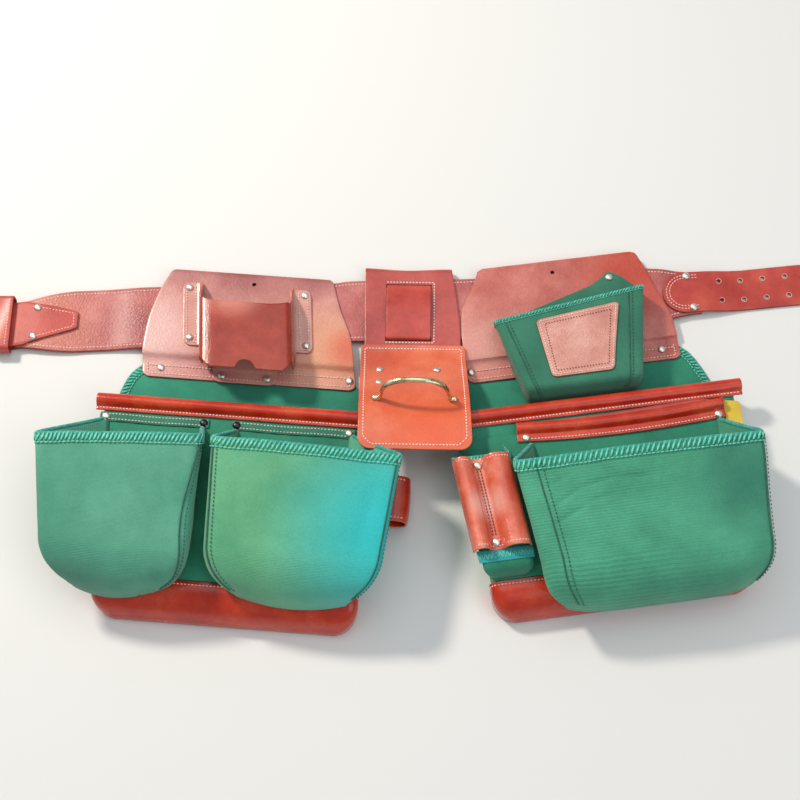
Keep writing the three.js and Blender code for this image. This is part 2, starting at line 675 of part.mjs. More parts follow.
// Left bag. Its own frame has the belt's middle line near Y 0 and lies turned on the floor.
function leftBagGroup() {
  const group = new THREE.Group();
  const { width, drop, mouth } = leftBag;
  const half = width / 2;
  const yokeRows = [
    { down: 0, left: -0.79, right: 0.76 },
    { down: 0.25, left: -0.88, right: 0.83 },
    { down: 0.57, left: -0.945, right: 0.98 },
    { down: 0.75, left: -0.95, right: 1.02 },
    { down: 1, left: -0.925, right: 1.06 },
  ];
  const top = belt.width / 2 + yoke.headroom;
  group.add(piece("left_yoke", yokeSolid(yokeRows, top, { across: 0.01, drop: 15 }), colour.yokeLeather));

  const mainRow = {
    bottom: 1,
    back: { left: -0.95, right: 1.02, y: (mouth - 13) / drop },
    mouth: { left: -1.03, right: 1.06, y: mouth / drop },
    low: { left: -0.86, leftBack: -0.84, right: 1.08, rightBack: 1.06 },
  };
  const bag = bagFrom(half, drop, mainRow, { ...main, floor: bandFloor, slump: 1, downs: [0, 0.5, 1] });
  const above = [
    { y: bandStart - 9, left: -half * 0.76, right: half * 0.84 },
    { y: bandStart - 24, left: -half * 0.87, right: half * 0.93 },
    { y: bandStart - 40, left: -half * 0.92, right: half * 0.98 },
    { y: bag.back.left.y, left: bag.back.left.x, right: bag.back.right.x },
  ];
  group.add(piece("left_back_panel", slab(backOutline(bag, above), 0, fabric), colour.green));
  group.add(piece("left_main_bag", bagWall(bag, fabric), colour.green));
  group.add(piece("left_main_rim", mainRim(bag), colour.leather));
  group.add(piece("left_boot", bootSolid(bag, leftBag.boot), colour.leather));

  const panelTop = -mouth - rim.flange - 2.5;
  const panelLow = -drop + leftBag.boot + 1;
  const corners = [
    [-half * 1.01, panelTop],
    [half * 1.04, panelTop],
    [half * 1.05, panelLow],
    [-half * 0.86, panelLow],
  ];
  const panel = slab(roundedShape(corners, 5), panelFloor, panelFloor + fabric);
  const stripTop = panelFloor + fabric + thinFabric;
  const hems = [
    { from: -1, to: -0.16 },
    { from: 0.01, to: 0.96 },
  ].map((row) => {
    const [from, to, low] = [row.from * half, row.to * half, panelTop - strip.height];
    const shape = roundedShape([[from, panelTop - 0.5], [to, panelTop - 0.5], [to, low], [from, low]], 3);
    return slab(shape, panelFloor + fabric - 0.5, stripTop);
  });
  group.add(piece("left_pouch_panel", joined(panel, ...hems), colour.green));

  const pouches = [
    {
      name: "left_outer_pouch",
      bottom: 0.972,
      back: { left: -0.95, right: -0.2, y: 0.452 },
      mouth: { left: -1.43, right: -0.13, leftY: 0.54, rightY: 0.507 },
      low: { left: -1.27, leftBack: -0.8, right: -0.12, rightBack: -0.18 },
    },
    {
      name: "left_inner_pouch",
      bottom: 0.966,
      back: { left: 0.05, right: 0.93, y: 0.452 },
      mouth: { left: -0.105, right: 1.39, leftY: 0.51, rightY: 0.525 },
      low: { left: -0.05, leftBack: 0.035, right: 1.31, rightBack: 0.98 },
    },
  ];
  const size = { ...pouch, floor: pouchFloor, slump: 0.6, taper: 0.95, downs: [0, 0.5, 1] };
  for (const row of pouches)
    group.add(piece(row.name, bagWithFoot(bagFrom(half, drop, row, size), fabric), colour.green));

  group.add(piece("left_holster", holsterSolid(), colour.leather));
  group.add(piece("left_holster_floor", holsterFloorSolid(), colour.leather));
  group.add(piece("left_tool_loop", toolLoopSolid(bag), colour.leather));

  const onYoke = yokeTop + leather + 2 * gap;
  const side = holster.width / 2 + holster.flange * 0.68;
  const slanted = (x, y) => ({ x: x - 2 + holster.slant * y, y });
  const bandY = bandStart - 16;
  const floorZ = bandTop + gap + leather + gap;
  const middle = holsterFloor.middle;
  const spread = holsterFloor.width / 2 - 11;
  const stripZ = stripTop + gap;
  const stripY = panelTop - strip.height / 2;
  addRivets(group, [
    { on: "left_yoke", x: -yoke.width * 0.38, y: bandY, z: bandTop + gap },
    { on: "left_yoke", x: yoke.width * 0.5, y: bandY, z: bandTop + gap },
    { on: "left_holster", ...slanted(-side, 25), z: onYoke },
    { on: "left_holster", ...slanted(-side, -37), z: onYoke },
    { on: "left_holster", ...slanted(side, 25), z: onYoke },
    { on: "left_holster", ...slanted(side, -37), z: onYoke },
    { on: "left_holster_floor", x: middle - spread, y: bandStart - 21.5, z: floorZ },
    { on: "left_holster_floor", x: middle + spread, y: bandStart - 21.5, z: floorZ },
    { on: "left_pouch", x: -half * 0.955, y: stripY, z: stripZ },
    { on: "left_pouch", x: -half * 0.2, y: stripY, z: stripZ },
    { on: "left_pouch", x: half * 0.05, y: stripY, z: stripZ },
    { on: "left_pouch", x: half * 0.915, y: stripY, z: stripZ },
  ]);
  return placeBag(group, leftBag);
}

// The leather holster: two side flanges on the yoke, and a body with an open top and a notched foot.
function holsterSolid() {
  const half = holster.width / 2;
  const low = yokeTop + gap + leather / 2;
  const high = low + holster.depth;
  const edge = holster.edge;
  const rightHalf = [
    [half - edge, high],
    [half - edge * 0.3, high - edge * 0.3],
    [half, high - edge],
    [half, low + edge * 0.5],
    [half + edge * 0.4, low],
    [half + holster.flange, low],
  ];
  const leftHalf = rightHalf.map(([x, z]) => [-x, z]).reverse();
  const body = pushedAlongY(sheetShape([...leftHalf, ...rightHalf], leather), -holster.drop, holster.top);
  const out = half + holster.flange;
  const side = [
    [half - 26, holster.mouth],
    [half - 6, holster.mouth + 3],
    [half - 5, holster.top],
    [out, holster.top],
    [out, holster.flangeLow],
    [half + 3, holster.flangeLow - 3],
    [half + 2, -holster.drop + 16],
    [half - 13, -holster.drop],
  ];
  const mirrored = side.map(([x, y]) => [-x, y]).reverse();
  const radii = [8, 4, 1, 8, 8, 3, 4, 3];
  const shape = roundedShape([...side, ...mirrored], [...radii, ...[...radii].reverse()]);
  const brow = sheetBlock(
    [
      [holster.top - 1, low + leather],
      [holster.mouth + 2, high + 4],
      [holster.top + 9, high + 9],
      [holster.top + 9, low + leather],
    ],
    out,
  );
  const notch = drill(0, -holster.drop - 1, holster.notch, 16);
  const slant = new THREE.Matrix4().makeShear(0, 0, holster.slant, 0, 0, 0);
  return without(trimmed(body, shape), notch, brow).applyMatrix4(slant).translate(-2, 0, 0);
}

// The strap under the holster that stops a tool falling through: riveted to the yoke, sewn inside the front.
function holsterFloorSolid() {
  const foot = bandTop + gap + leather / 2;
  const inside = yokeTop + gap + leather / 2 + holster.depth - leather - gap;
  const end = bandStart - yoke.hem - 6;
  const centre = [
    [end, foot],
    [bandStart - 14, foot],
    [bandStart - 10, foot + 4],
    [bandStart - 5, inside - 5],
    [bandStart - 2, inside],
    [bandStart + 12, inside],
  ];
  const half = holsterFloor.width / 2;
  const low = end;
  const top = bandStart + 12;
  const profile = pushedAlongX(sheetShape(centre, leather), -half, half);
  const shape = roundedShape([[-half, top], [half, top], [half, low], [-half, low]], [1, 1, 9, 9]);
  return trimmed(profile, shape).translate(holsterFloor.middle, 0, 0);
}

// A leather loop for a tool, sewn to the side of the main bag, with its tunnel along Y.
function toolLoopSolid(bag) {
  const y = -leftBag.drop * toolLoop.down;
  const foot = (y - toolLoop.length / 2 - bag.mouth.right.y) / (bag.bottom + bag.roll - bag.mouth.right.y);
  const wall = bagRow(bag, 0, foot, 90).right;
  const side = mix(wall.back, wall.front, 0.7) + gap + leather / 2;
  const middle = bandFloor + main.depth * 0.5;
  const rise = toolLoop.high / 2;
  const corner = [side + toolLoop.reach * 0.75, side + toolLoop.reach];
  const centre = [
    [side, middle + rise],
    [corner[0], middle + rise],
    [corner[1], middle + rise * 0.45],
    [corner[1], middle - rise * 0.45],
    [corner[0], middle - rise],
    [side, middle - rise],
    [side, middle + rise - leather - gap],
  ];
  return pushedAlongY(sheetShape(centre, leather), y - toolLoop.length / 2, y + toolLoop.length / 2);
}

// The middle of the hammer holder's plate, which leans forward over the bags beside it. Its height is a share
// of the way up from the hanger's face to its foot.
const plateLine = [
  { y: -1.1, up: 1 },
  { y: -0.97, up: 1 },
  { y: -0.82, up: 0.967 },
  { y: -0.66, up: 0.778 },
  { y: -0.5, up: 0.386 },
  { y: -0.36, up: 0.059 },
  { y: -0.29, up: 0 },
  { y: -0.2, up: 0 },
].map(({ y, up }) => {
  const hanger = frontLeaf + heavyLeather + 3 * gap;
  return [y * holder.drop, heavyLeather / 2 + mix(hanger, plateFloor, up)];
});

const slopeTable = (pairs) => pairs.map(([y, z]) => ({ y, z }));

function hammerGroup() {
  const group = new THREE.Group();
  const half = holder.width / 2;
  const front = frontLeaf + heavyLeather / 2;
  const back = heavyLeather / 2;
  const fold = (front - back) / 2;
  const crest = holder.top - heavyLeather / 2 - fold * 0.5;
  const under = offsetLine(plateLine, -heavyLeather - gap);
  const tongue = under.filter(({ y: z }) => z > front + 1).map(({ x, y }) => [x, y]);
  const centre = [
    ...tongue,
    [-holder.plateTop - 4, front],
    [crest, front],
    [crest + fold * 0.35, front - fold * 0.35],
    [crest + fold * 0.5, back + fold],
    [crest + fold * 0.35, back + fold * 0.35],
    [crest, back],
    [bandStart, back],
  ];
  const hide = pushedAlongX(sheetShape(centre, heavyLeather), -half - 8, half + 8);
  const rows = [
    { y: holder.top + 2, left: -1.05, right: 0.82 },
    { y: holder.top - 3, left: -1.05, right: 0.84 },
    { y: -holder.plateTop + 4, left: -1.02, right: 1.03 },
    { y: -holder.tongue, left: -0.96, right: 1 },
  ];
  const edge = (side) => rows.map((row) => [row[side] * half, row.y]);
  const shape = roundedShape([...edge("left"), ...edge("right").reverse()], [3, 3, 6, 8, 8, 6, 3, 3]);
  const strapLow = holderStrap.middle - holderStrap.height / 2;
  const strapTop = holderStrap.middle + holderStrap.height / 2;
  const middle = -5;
  const reach = holderStrap.width / 2 + 1;
  const slot = (y) =>
    blockBetween([middle - reach, y - 2.6, frontLeaf - 1], [middle + reach, y + 2.6, frontLeaf + 8]);
  const hanger = without(trimmed(hide, shape), slot(strapLow), slot(strapTop));
  group.add(piece("hammer_hanger", hanger, colour.leather));

  const over = frontLeaf + heavyLeather + 2 * gap + leather / 2;
  const weave = [
    [strapLow, frontLeaf + leather * 0.3],
    [strapLow + 0.5, over - 0.6],
    [strapLow + 5, over + 0.2],
    [strapLow + 16, over + holderStrap.rise * 0.6],
    [holderStrap.middle, over + holderStrap.rise],
    [strapTop - 16, over + holderStrap.rise * 0.6],
    [strapTop - 5, over + 0.2],
    [strapTop - 0.5, over - 0.6],
    [strapTop, frontLeaf + leather * 0.3],
  ];
  const wide = holderStrap.width / 2;
  const woven = pushedAlongX(sheetShape(weave, leather), middle - wide, middle + wide);
  group.add(piece("hammer_belt_strap", woven, colour.leather));

  const leaned = pushedAlongX(sheetShape(plateLine, heavyLeather), -half - 20, half + 20);
  const wing = holder.plateWidth / 2;
  const outline = roundedShape(
    [
      [-wing * 0.95, -holder.plateTop],
      [wing * 0.97, -holder.plateTop],
      [wing * 1.07, -holder.drop],
      [-wing * 0.93, -holder.drop],
    ],
    [4, 4, 13, 13],
  );
  group.add(piece("hammer_plate", trimmed(leaned, outline), colour.leather));

  // The steel loop is bent from one flat bar, with its feet turned outwards on the plate.
  const face = slopeTable(offsetLine(plateLine, heavyLeather / 2 + gap).map(({ x, y }) => [x, y]));
  const onPlate = (y) => readTable(face, "y", y, "z");
  const slope = (y) => (onPlate(y + 4) - onPlate(y - 4)) / 8;
  const footY = -hammerLoop.down;
  const { span, height, foot, thick } = hammerLoop;
  const archRows = [
    { across: -0.5, up: 0, foot: -1 },
    { across: -0.5, up: 0, foot: -0.25 },
    { across: -0.495, up: 0.12, foot: 0 },
    { across: -0.47, up: 0.45, foot: 0 },
    { across: -0.4, up: 0.72, foot: 0 },
    { across: -0.25, up: 0.93, foot: 0 },
    { across: 0, up: 1, foot: 0 },
  ];
  const armLine = archRows.map((row) => [row.across * span + row.foot * foot, row.up * height + thick / 2]);
  const arch = [...armLine, ...armLine.slice(0, -1).reverse().map(([x, z]) => [-x, z])];
  const flatBar = pushedAlongY(sheetShape(arch, thick), -hammerLoop.wide / 2, hammerLoop.wide / 2);
  const lean = -Math.tan(THREE.MathUtils.degToRad(hammerLoop.lean));
  flatBar.applyMatrix4(new THREE.Matrix4().makeShear(0, 0, 0, 0, 0, lean));
  flatBar.rotateX(Math.atan(slope(footY)));
  flatBar.translate(3, footY, onPlate(footY) + 0.2);
  group.add(piece("hammer_loop", flatBar, colour.steel));

  const rivets = [
    { x: -36, down: 0.445 },
    { x: 27, down: 0.44 },
    { x: -36, down: 0.55 },
    { x: 28.5, down: 0.55 },
  ];
  addRivets(
    group,
    rivets.map(({ x, down }) => {
      const y = -holder.drop * down;
      return { on: "hammer_plate", x, y, z: onPlate(y) + 0.3, slope: slope(y) };
    }),
  );
  group.rotation.z = THREE.MathUtils.degToRad(-1);
  return group;
}

// Right bag, with a side pouch and a tool sleeve on its inner edge and one large pouch beside them.
function rightBagGroup() {
  const group = new THREE.Group();
  const { width, drop, mouth } = rightBag;
  const half = width / 2;
  const yokeRows = [
    { down: 0, left: -0.8, right: 0.72 },
    { down: 0.18, left: -0.88, right: 0.78 },
    { down: 0.4, left: -1.02, right: 0.85 },
    { down: 0.7, left: -1.06, right: 0.94 },
    { down: 1, left: -1.06, right: 0.95 },
  ];
  const top = belt.width / 2 + yoke.rightHeadroom;
  group.add(piece("right_yoke", yokeSolid(yokeRows, top, { across: -0.1, drop: 17 }), colour.yokeLeather));

  const mainRow = {
    bottom: 1,
    back: { left: -1.06, right: 1.0, y: (mouth - 13) / drop },
    mouth: { left: -1.1, right: 1.12, y: mouth / drop },
    low: { left: -0.98, leftBack: -0.96, right: 0.96, rightBack: 0.94 },
  };
  const bag = bagFrom(half, drop, mainRow, { ...main, floor: bandFloor, slump: 1, downs: [0, 0.5, 1] });
  const above = [
    { y: bandStart - 9, left: -half * 0.82, right: half * 0.78 },
    { y: bandStart - 22, left: -half * 0.95, right: half * 0.87 },
    { y: bandStart - 46, left: -half * 1.03, right: half * 0.95 },
    { y: bag.back.left.y, left: bag.back.left.x, right: bag.back.right.x },
  ];
  group.add(piece("right_back_panel", slab(backOutline(bag, above), 0, fabric), colour.green));
  group.add(piece("right_main_bag", bagWall(bag, fabric), colour.green));
  group.add(piece("right_main_rim", mainRim(bag), colour.leather));
  group.add(piece("right_boot", bootSolid(bag, rightBag.boot), colour.leather));

  const panelTop = -mouth - rim.flange - 10;
  const panelLow = -drop + rightBag.boot + 1;
  const corners = [
    [-half * 1.08, panelTop - 4],
    [half * 0.96, panelTop - 4],
    [half * 0.94, panelLow],
    [-half * 0.97, panelLow],
  ];
  const panel = roundedShape(corners, 5);
  group.add(piece("right_pouch_panel", slab(panel, panelFloor, panelFloor + fabric), colour.green));
  const midLine = [-0.62, -0.4, -0.1, 0.2, 0.5, 0.75, 0.96].map((share, i, all) => {
    const u = i / (all.length - 1);
    return new THREE.Vector3(share * half, panelTop - 4 + 5 * (2 * u - 1) ** 2, panelFloor + fabric);
  });
  group.add(piece("right_pouch_rim", rolledRim(midLine, false, fabric, pouchRim), colour.leather));

  const pouchRow = {
    bottom: 1.035,
    back: { left: -0.53, right: 0.91, y: 0.52 },
    mouth: { left: -0.76, right: 1.155, leftY: 0.598, rightY: 0.598 },
    low: { left: -0.57, leftBack: -0.5, right: 1.045, rightBack: 0.86 },
  };
  const size = { ...pouch, floor: pouchFloor, slump: 0.6, taper: 0.95, downs: [0, 0.5, 1] };
  const outerPouch = bagFrom(half, drop, pouchRow, size);
  group.add(piece("right_outer_pouch", bagWithFoot(outerPouch, fabric), colour.green));

  const sideRow = {
    bottom: 0.895,
    back: { left: -1.07, right: -0.73, y: 0.495 },
    mouth: { left: -1.165, right: -0.71, y: 0.535 },
    low: { left: -1.06, leftBack: -0.97, right: -0.67, rightBack: -0.68 },
  };
  const sideSize = { ...sidePouch, floor: pouchFloor, slump: 0.8, downs: [0, 0.5, 1] };
  const side = bagFrom(half, drop, sideRow, sideSize);
  group.add(piece("right_side_pouch", bagWall(side, thinFabric), colour.green));
  group.add(piece("right_tool_sleeve", sleeveSolid(side), colour.leather));

  const flapFloor = yokeTop + gap;
  const pocketSize = { ...pocket, floor: flapFloor + thinFabric - 0.5, slump: 0.7, downs: [0, 0.5, 1] };
  const pocketRow = {
    bottom: 1,
    back: { left: -1.01, right: 0.93, leftY: 0.15, rightY: -0.01 },
    mouth: { left: -1.08, right: 0.92, leftY: 0.25, rightY: 0.065 },
    low: { left: -0.83, leftBack: -0.8, right: 0.68, rightBack: 0.68 },
  };
  const yokePocket = bagFrom(pocket.half, pocket.drop, pocketRow, pocketSize);
  const low = bagRow(yokePocket, 0, 1, 90);
  const flap = roundedShape(
    [
      [yokePocket.back.left.x, yokePocket.back.left.y + 2],
      [yokePocket.back.left.x + 30, yokePocket.back.left.y + 7],
      [pocket.half * 0.4, 17],
      [pocket.half * 0.58, 31],
      [pocket.half * 0.72, 24],
      [yokePocket.back.right.x, yokePocket.back.right.y + 4],
      [low.right.back, -pocket.drop],
      [low.left.back, -pocket.drop],
    ],
    [3, 30, 20, 5, 14, 3, pocket.corner, pocket.corner],
  );
  const backing = slab(flap, flapFloor, flapFloor + thinFabric);
  group.add(piece("right_yoke_pocket", joined(backing, bagWall(yokePocket, thinFabric)), colour.green));
  const shares = {
    top: 0.13,
    bottom: 0.93,
    topLeft: 0.26,
    topRight: 0.82,
    bottomLeft: 0.25,
    bottomRight: 0.75,
  };
  group.add(piece("right_leather_patch", onFront(yokePocket, shares, patch.thick), colour.yokeLeather));

  const linerSide = half * 0.96 + 1;
  const linerTop = -mouth - rim.flange - 4;
  const tab = roundedShape(
    [
      [linerSide, linerTop],
      [linerSide + liner.width * 0.8, linerTop - 3],
      [linerSide + liner.width * 0.7, linerTop - liner.length],
      [linerSide, linerTop - liner.length],
    ],
    3,
  );
  group.add(piece("right_liner", slab(tab, panelFloor, panelFloor + thinFabric), colour.yellow));

  const bandY = bandStart - 14;
  const pocketRivetZ = flapFloor + thinFabric + gap;
  const rimTop = panelFloor + fabric + gap + rim.thick + gap;
  addRivets(group, [
    { on: "right_yoke", x: -half * 0.86, y: bandY, z: bandTop + gap },
    { on: "right_yoke", x: half * 0.66, y: bandY, z: bandTop + gap },
    { on: "right_yoke_pocket", x: pocket.half * 0.58, y: 22, z: pocketRivetZ },
    { on: "right_pouch_rim", x: -half * 0.56, y: panelTop - 10.5, z: rimTop },
    { on: "right_pouch_rim", x: half * 0.91, y: panelTop - 10.5, z: rimTop },
    ...sleeveRivets(side),
  ]);
  return placeBag(group, rightBag);
}

// The tool sleeve: one hide sewn down along both edges and the middle, so that it has two channels.
const sleeveRows = [
  { across: 0, up: 0 },
  { across: 0.03, up: 0.55 },
  { across: 0.15, up: 0.95 },
  { across: 0.27, up: 0.6 },
  { across: 0.31, up: 0 },
  { across: 0.52, up: 0 },
  { across: 0.58, up: 0.6 },
  { across: 0.74, up: 1 },
  { across: 0.94, up: 0.7 },
  { across: 1, up: 0 },
];

function sleeveFrame(side) {
  const row = bagRow(side, 0, 0.1, 90);
  return {
    left: row.left.front + 1,
    top: side.mouth.left.y - 3,
    floor: side.floor + side.depth + gap,
  };
}

function sleeveSolid(side) {
  const frame = sleeveFrame(side);
  const centre = sleeveRows.map((row) => [
    frame.left + row.across * sleeve.width,
    frame.floor + leather / 2 + row.up * sleeve.rise,
  ]);
  const profile = pushedAlongY(sheetShape(centre, leather), -sleeve.height, 0);
  const lean = new THREE.Matrix4().makeShear(0, 0, -sleeve.lean, 0, 0, 0);
  return profile.applyMatrix4(lean).translate(0, frame.top, 0);
}

function sleeveRivets(side) {
  const frame = sleeveFrame(side);
  return [0.08, 0.92].map((down) => ({
    on: "right_tool_sleeve",
    x: frame.left + 0.415 * sleeve.width + sleeve.lean * down * sleeve.height,
    y: frame.top - down * sleeve.height,
    z: frame.floor + leather + gap,
  }));
}

const parts = new THREE.Group();
parts.add(beltGroup(), leftBagGroup(), hammerGroup(), rightBagGroup());

export default parts;
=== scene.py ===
# A leather and green fabric tool belt laid out flat on its back, in metres, in the CAD model's frame.
# +X runs along the belt to the billet's tip, +Y to the edge worn uppermost, +Z up from the floor.
import math
import bmesh
import bpy
from mathutils import Matrix, Vector, noise


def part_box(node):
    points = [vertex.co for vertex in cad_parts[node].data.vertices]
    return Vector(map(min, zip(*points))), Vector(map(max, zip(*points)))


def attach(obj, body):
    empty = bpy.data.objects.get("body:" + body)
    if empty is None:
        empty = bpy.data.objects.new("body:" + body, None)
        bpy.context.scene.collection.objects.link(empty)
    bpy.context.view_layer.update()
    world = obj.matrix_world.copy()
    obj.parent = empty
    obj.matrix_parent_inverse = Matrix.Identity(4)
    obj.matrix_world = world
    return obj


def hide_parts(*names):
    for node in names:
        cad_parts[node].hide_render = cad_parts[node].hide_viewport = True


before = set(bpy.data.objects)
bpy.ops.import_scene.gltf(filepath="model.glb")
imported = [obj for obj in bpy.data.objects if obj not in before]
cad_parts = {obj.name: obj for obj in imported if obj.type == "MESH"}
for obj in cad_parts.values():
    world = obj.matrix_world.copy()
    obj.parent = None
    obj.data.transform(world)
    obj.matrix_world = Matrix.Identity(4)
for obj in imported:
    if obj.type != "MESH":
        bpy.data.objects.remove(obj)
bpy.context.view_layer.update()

# Waist belt. Two layers of pebble-grained cowhide over a thin pad, cut 76 mm (3 in) wide and tapered at both
# ends, with a row of pale thread along each edge. It dips to the floor between the left yoke and the buckle.
MM = 0.001
GAP = 0.3
LEATHER = 2.5
HARNESS = 3.0
FABRIC = 3.0
THIN_FABRIC = 2.0
BELT_WIDTH = 76
BELT_THICK = 5
BELT_LEFT = 449
BELT_RIGHT = 330
BELT_FLOOR = HARNESS + GAP
BELT_RISE = [(-561, -33.4), (-418, -16.7), (-373, -13.3), (-328, -11.2), (-305, -10.3), (-94, -5.7),
             (-70, -2.6), (53, 0), (172, 8.2), (284, 18.2), (307, 19.9), (330, 22), (353, 23.9), (495, 36.1)]
BELT_LIFT = [(-561, 1), (-424, 1), (-366, 0), (-352, 0), (-302, 1), (284, 1), (307, 0.8), (330, 0.35),
             (353, 0)]
BELT_SHARE = [(-449, 0.72), (-436, 0.78), (-418, 0.88), (-400, 0.96), (-382, 1), (-372, 1), (231, 1),
              (284, 0.87), (307, 0.74), (330, 0.68)]


def mix(a, b, share):
    return a + (b - a) * share


def curve(rows, at):
    """The value at a place on a smooth line through rows of (place, value), which never overshoots a row."""
    if at <= rows[0][0]:
        return rows[0][1]
    if at >= rows[-1][0]:
        return rows[-1][1]
    after = next(i for i, row in enumerate(rows) if row[0] >= at)

    def slope(i):
        if i in (0, len(rows) - 1):
            return 0
        into = (rows[i][1] - rows[i - 1][1]) / (rows[i][0] - rows[i - 1][0])
        out = (rows[i + 1][1] - rows[i][1]) / (rows[i + 1][0] - rows[i][0])
        return 0 if into * out <= 0 else 2 * into * out / (into + out)

    (x0, y0), (x1, y1) = rows[after - 1], rows[after]
    width = x1 - x0
    s = (at - x0) / width
    rise = (y0 * (1 + 2 * s) + slope(after - 1) * width * s) * (1 - s) ** 2
    return rise + (y1 * (3 - 2 * s) - slope(after) * width * (1 - s)) * s * s


def rounding(reach, radius):
    """How far a round corner has drawn an edge in, at a distance from where the edge ends."""
    short = min(radius, max(0, radius - reach))
    return radius - math.sqrt(radius ** 2 - short ** 2)


def belt_y(x):
    return curve(BELT_RISE, x)


def belt_floor(x):
    return curve(BELT_LIFT, x) * BELT_FLOOR


def bent_grid(columns, rows, place, size=(100, 100), weld=False):
    """A grid bent into a sheet: place(u, v) gives millimetres, and size is that of its pattern."""
    form = bmesh.new()
    bmesh.ops.create_grid(form, x_segments=columns, y_segments=rows, size=0.5)
    layer = form.loops.layers.uv.new("UVMap")
    for face in form.faces:
        for loop in face.loops:
            u, v = loop.vert.co.x + 0.5, loop.vert.co.y + 0.5
            loop[layer].uv = (u * size[0] * MM, v * size[1] * MM)
    for vert in form.verts:
        vert.co = Vector(place(vert.co.x + 0.5, vert.co.y + 0.5)) * MM
    if weld:
        bmesh.ops.remove_doubles(form, verts=form.verts, dist=0.00003)
    bmesh.ops.recalc_face_normals(form, faces=form.faces)
    return form


def finished(name, form, material, slot, nodes=(), wall=0, edge=0.7, levels=0, rim=None, sharp=None):
    """The piece made from a bmesh: its wall thickness, softened edges, material and place in the frame."""
    mesh = bpy.data.meshes.new(name)
    for face in form.faces:
        face.smooth = True
    form.to_mesh(mesh)
    form.free()
    mesh.materials.append(material)
    if sharp:
        mesh.set_sharp_from_angle(angle=math.radians(sharp))
    piece = bpy.data.objects.new(name, mesh)
    bpy.context.scene.collection.objects.link(piece)
    if wall:
        thick = piece.modifiers.new("wall", "SOLIDIFY")
        thick.thickness = wall * MM
        thick.offset = 0
        if rim:
            mesh.materials.append(rim)
            thick.material_offset_rim = 1
        if edge:
            soft = piece.modifiers.new("edge", "BEVEL")
            soft.width = edge * MM
            soft.segments = 2
            soft.limit_method = "ANGLE"
            soft.angle_limit = math.radians(48)
    if levels:
        smooth = piece.modifiers.new("smooth", "SUBSURF")
        smooth.levels = levels
        smooth.render_levels = levels
    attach(piece, "root")
    if nodes:
        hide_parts(*nodes)
    return piece


def node_piece(name, form, material, slot, **look):
    """A finished piece that takes the place of the CAD node of its own name."""
    return finished(name, form, material, slot, [name], **look)


def hex_colour(text):
    """An sRGB hex colour as the linear colour that a shader takes."""
    parts = [int(text[i:i + 2], 16) / 255 for i in (1, 3, 5)]
    return [c / 12.92 if c <= 0.04045 else ((c + 0.055) / 1.055) ** 2.4 for c in parts] + [1]


def add_node(tree, kind, settings=(), links=()):
    """A shader node with its settings and, for each input, the socket that feeds it."""
    made = tree.nodes.new(kind)
    for name, value in dict(settings).items():
        if isinstance(name, str) and hasattr(made, name):
            setattr(made, name, value)
        else:
            made.inputs[name].default_value = value
    for name, source in dict(links).items():
        tree.links.new(source, made.inputs[name])
    return made


def ramp(tree, stops, source):
    """The colour of a value between stops of (position, colour)."""
    made = add_node(tree, "ShaderNodeValToRGB", {}, {0: source})
    points = made.color_ramp.elements
    while len(points) < len(stops):
        points.new(0.5)
    for point, (position, colour) in zip(points, stops):
        point.position = position
        point.color = hex_colour(colour) if isinstance(colour, str) else (colour, colour, colour, 1)
    return made.outputs[0]


def new_material(name, **settings):
    material = bpy.data.materials.new(name)
    material.use_nodes = True
    tree = material.node_tree
    shader = tree.nodes["Principled BSDF"]
    for key, value in settings.items():
        shader.inputs[key.replace("_", " ").title().replace("Ior", "IOR")].default_value = value
    return material, tree, shader


def tinted(tree, colour, place, spots, core):
    """The colour with soft spots in it, each (centre, radius, tint, strength) in millimetres; core is the
    share of the radius that takes the whole tint."""
    for centre, radius, tint, strength in spots:
        there = add_node(tree, "ShaderNodeVectorMath",
                         {"operation": "DISTANCE", 1: tuple(c * MM for c in centre)}, {0: place})
        near = add_node(tree, "ShaderNodeMapRange",
                        {"interpolation_type": "SMOOTHSTEP", "From Min": radius * MM,
                         "From Max": radius * MM * core, "To Min": 0, "To Max": strength},
                        {"Value": there.outputs["Value"]})
        colour = add_node(tree, "ShaderNodeMix", {"data_type": "RGBA", 7: hex_colour(tint)},
                          {0: near.outputs[0], 6: colour}).outputs[2]
    return colour


def shaded(tree, colour, shade, amount=1.0):
    """The colour multiplied by a shade, as far as amount says."""
    return add_node(tree, "ShaderNodeMix", {"data_type": "RGBA", "blend_type": "MULTIPLY", 0: amount},
                    {6: colour, 7: shade}).outputs[2]


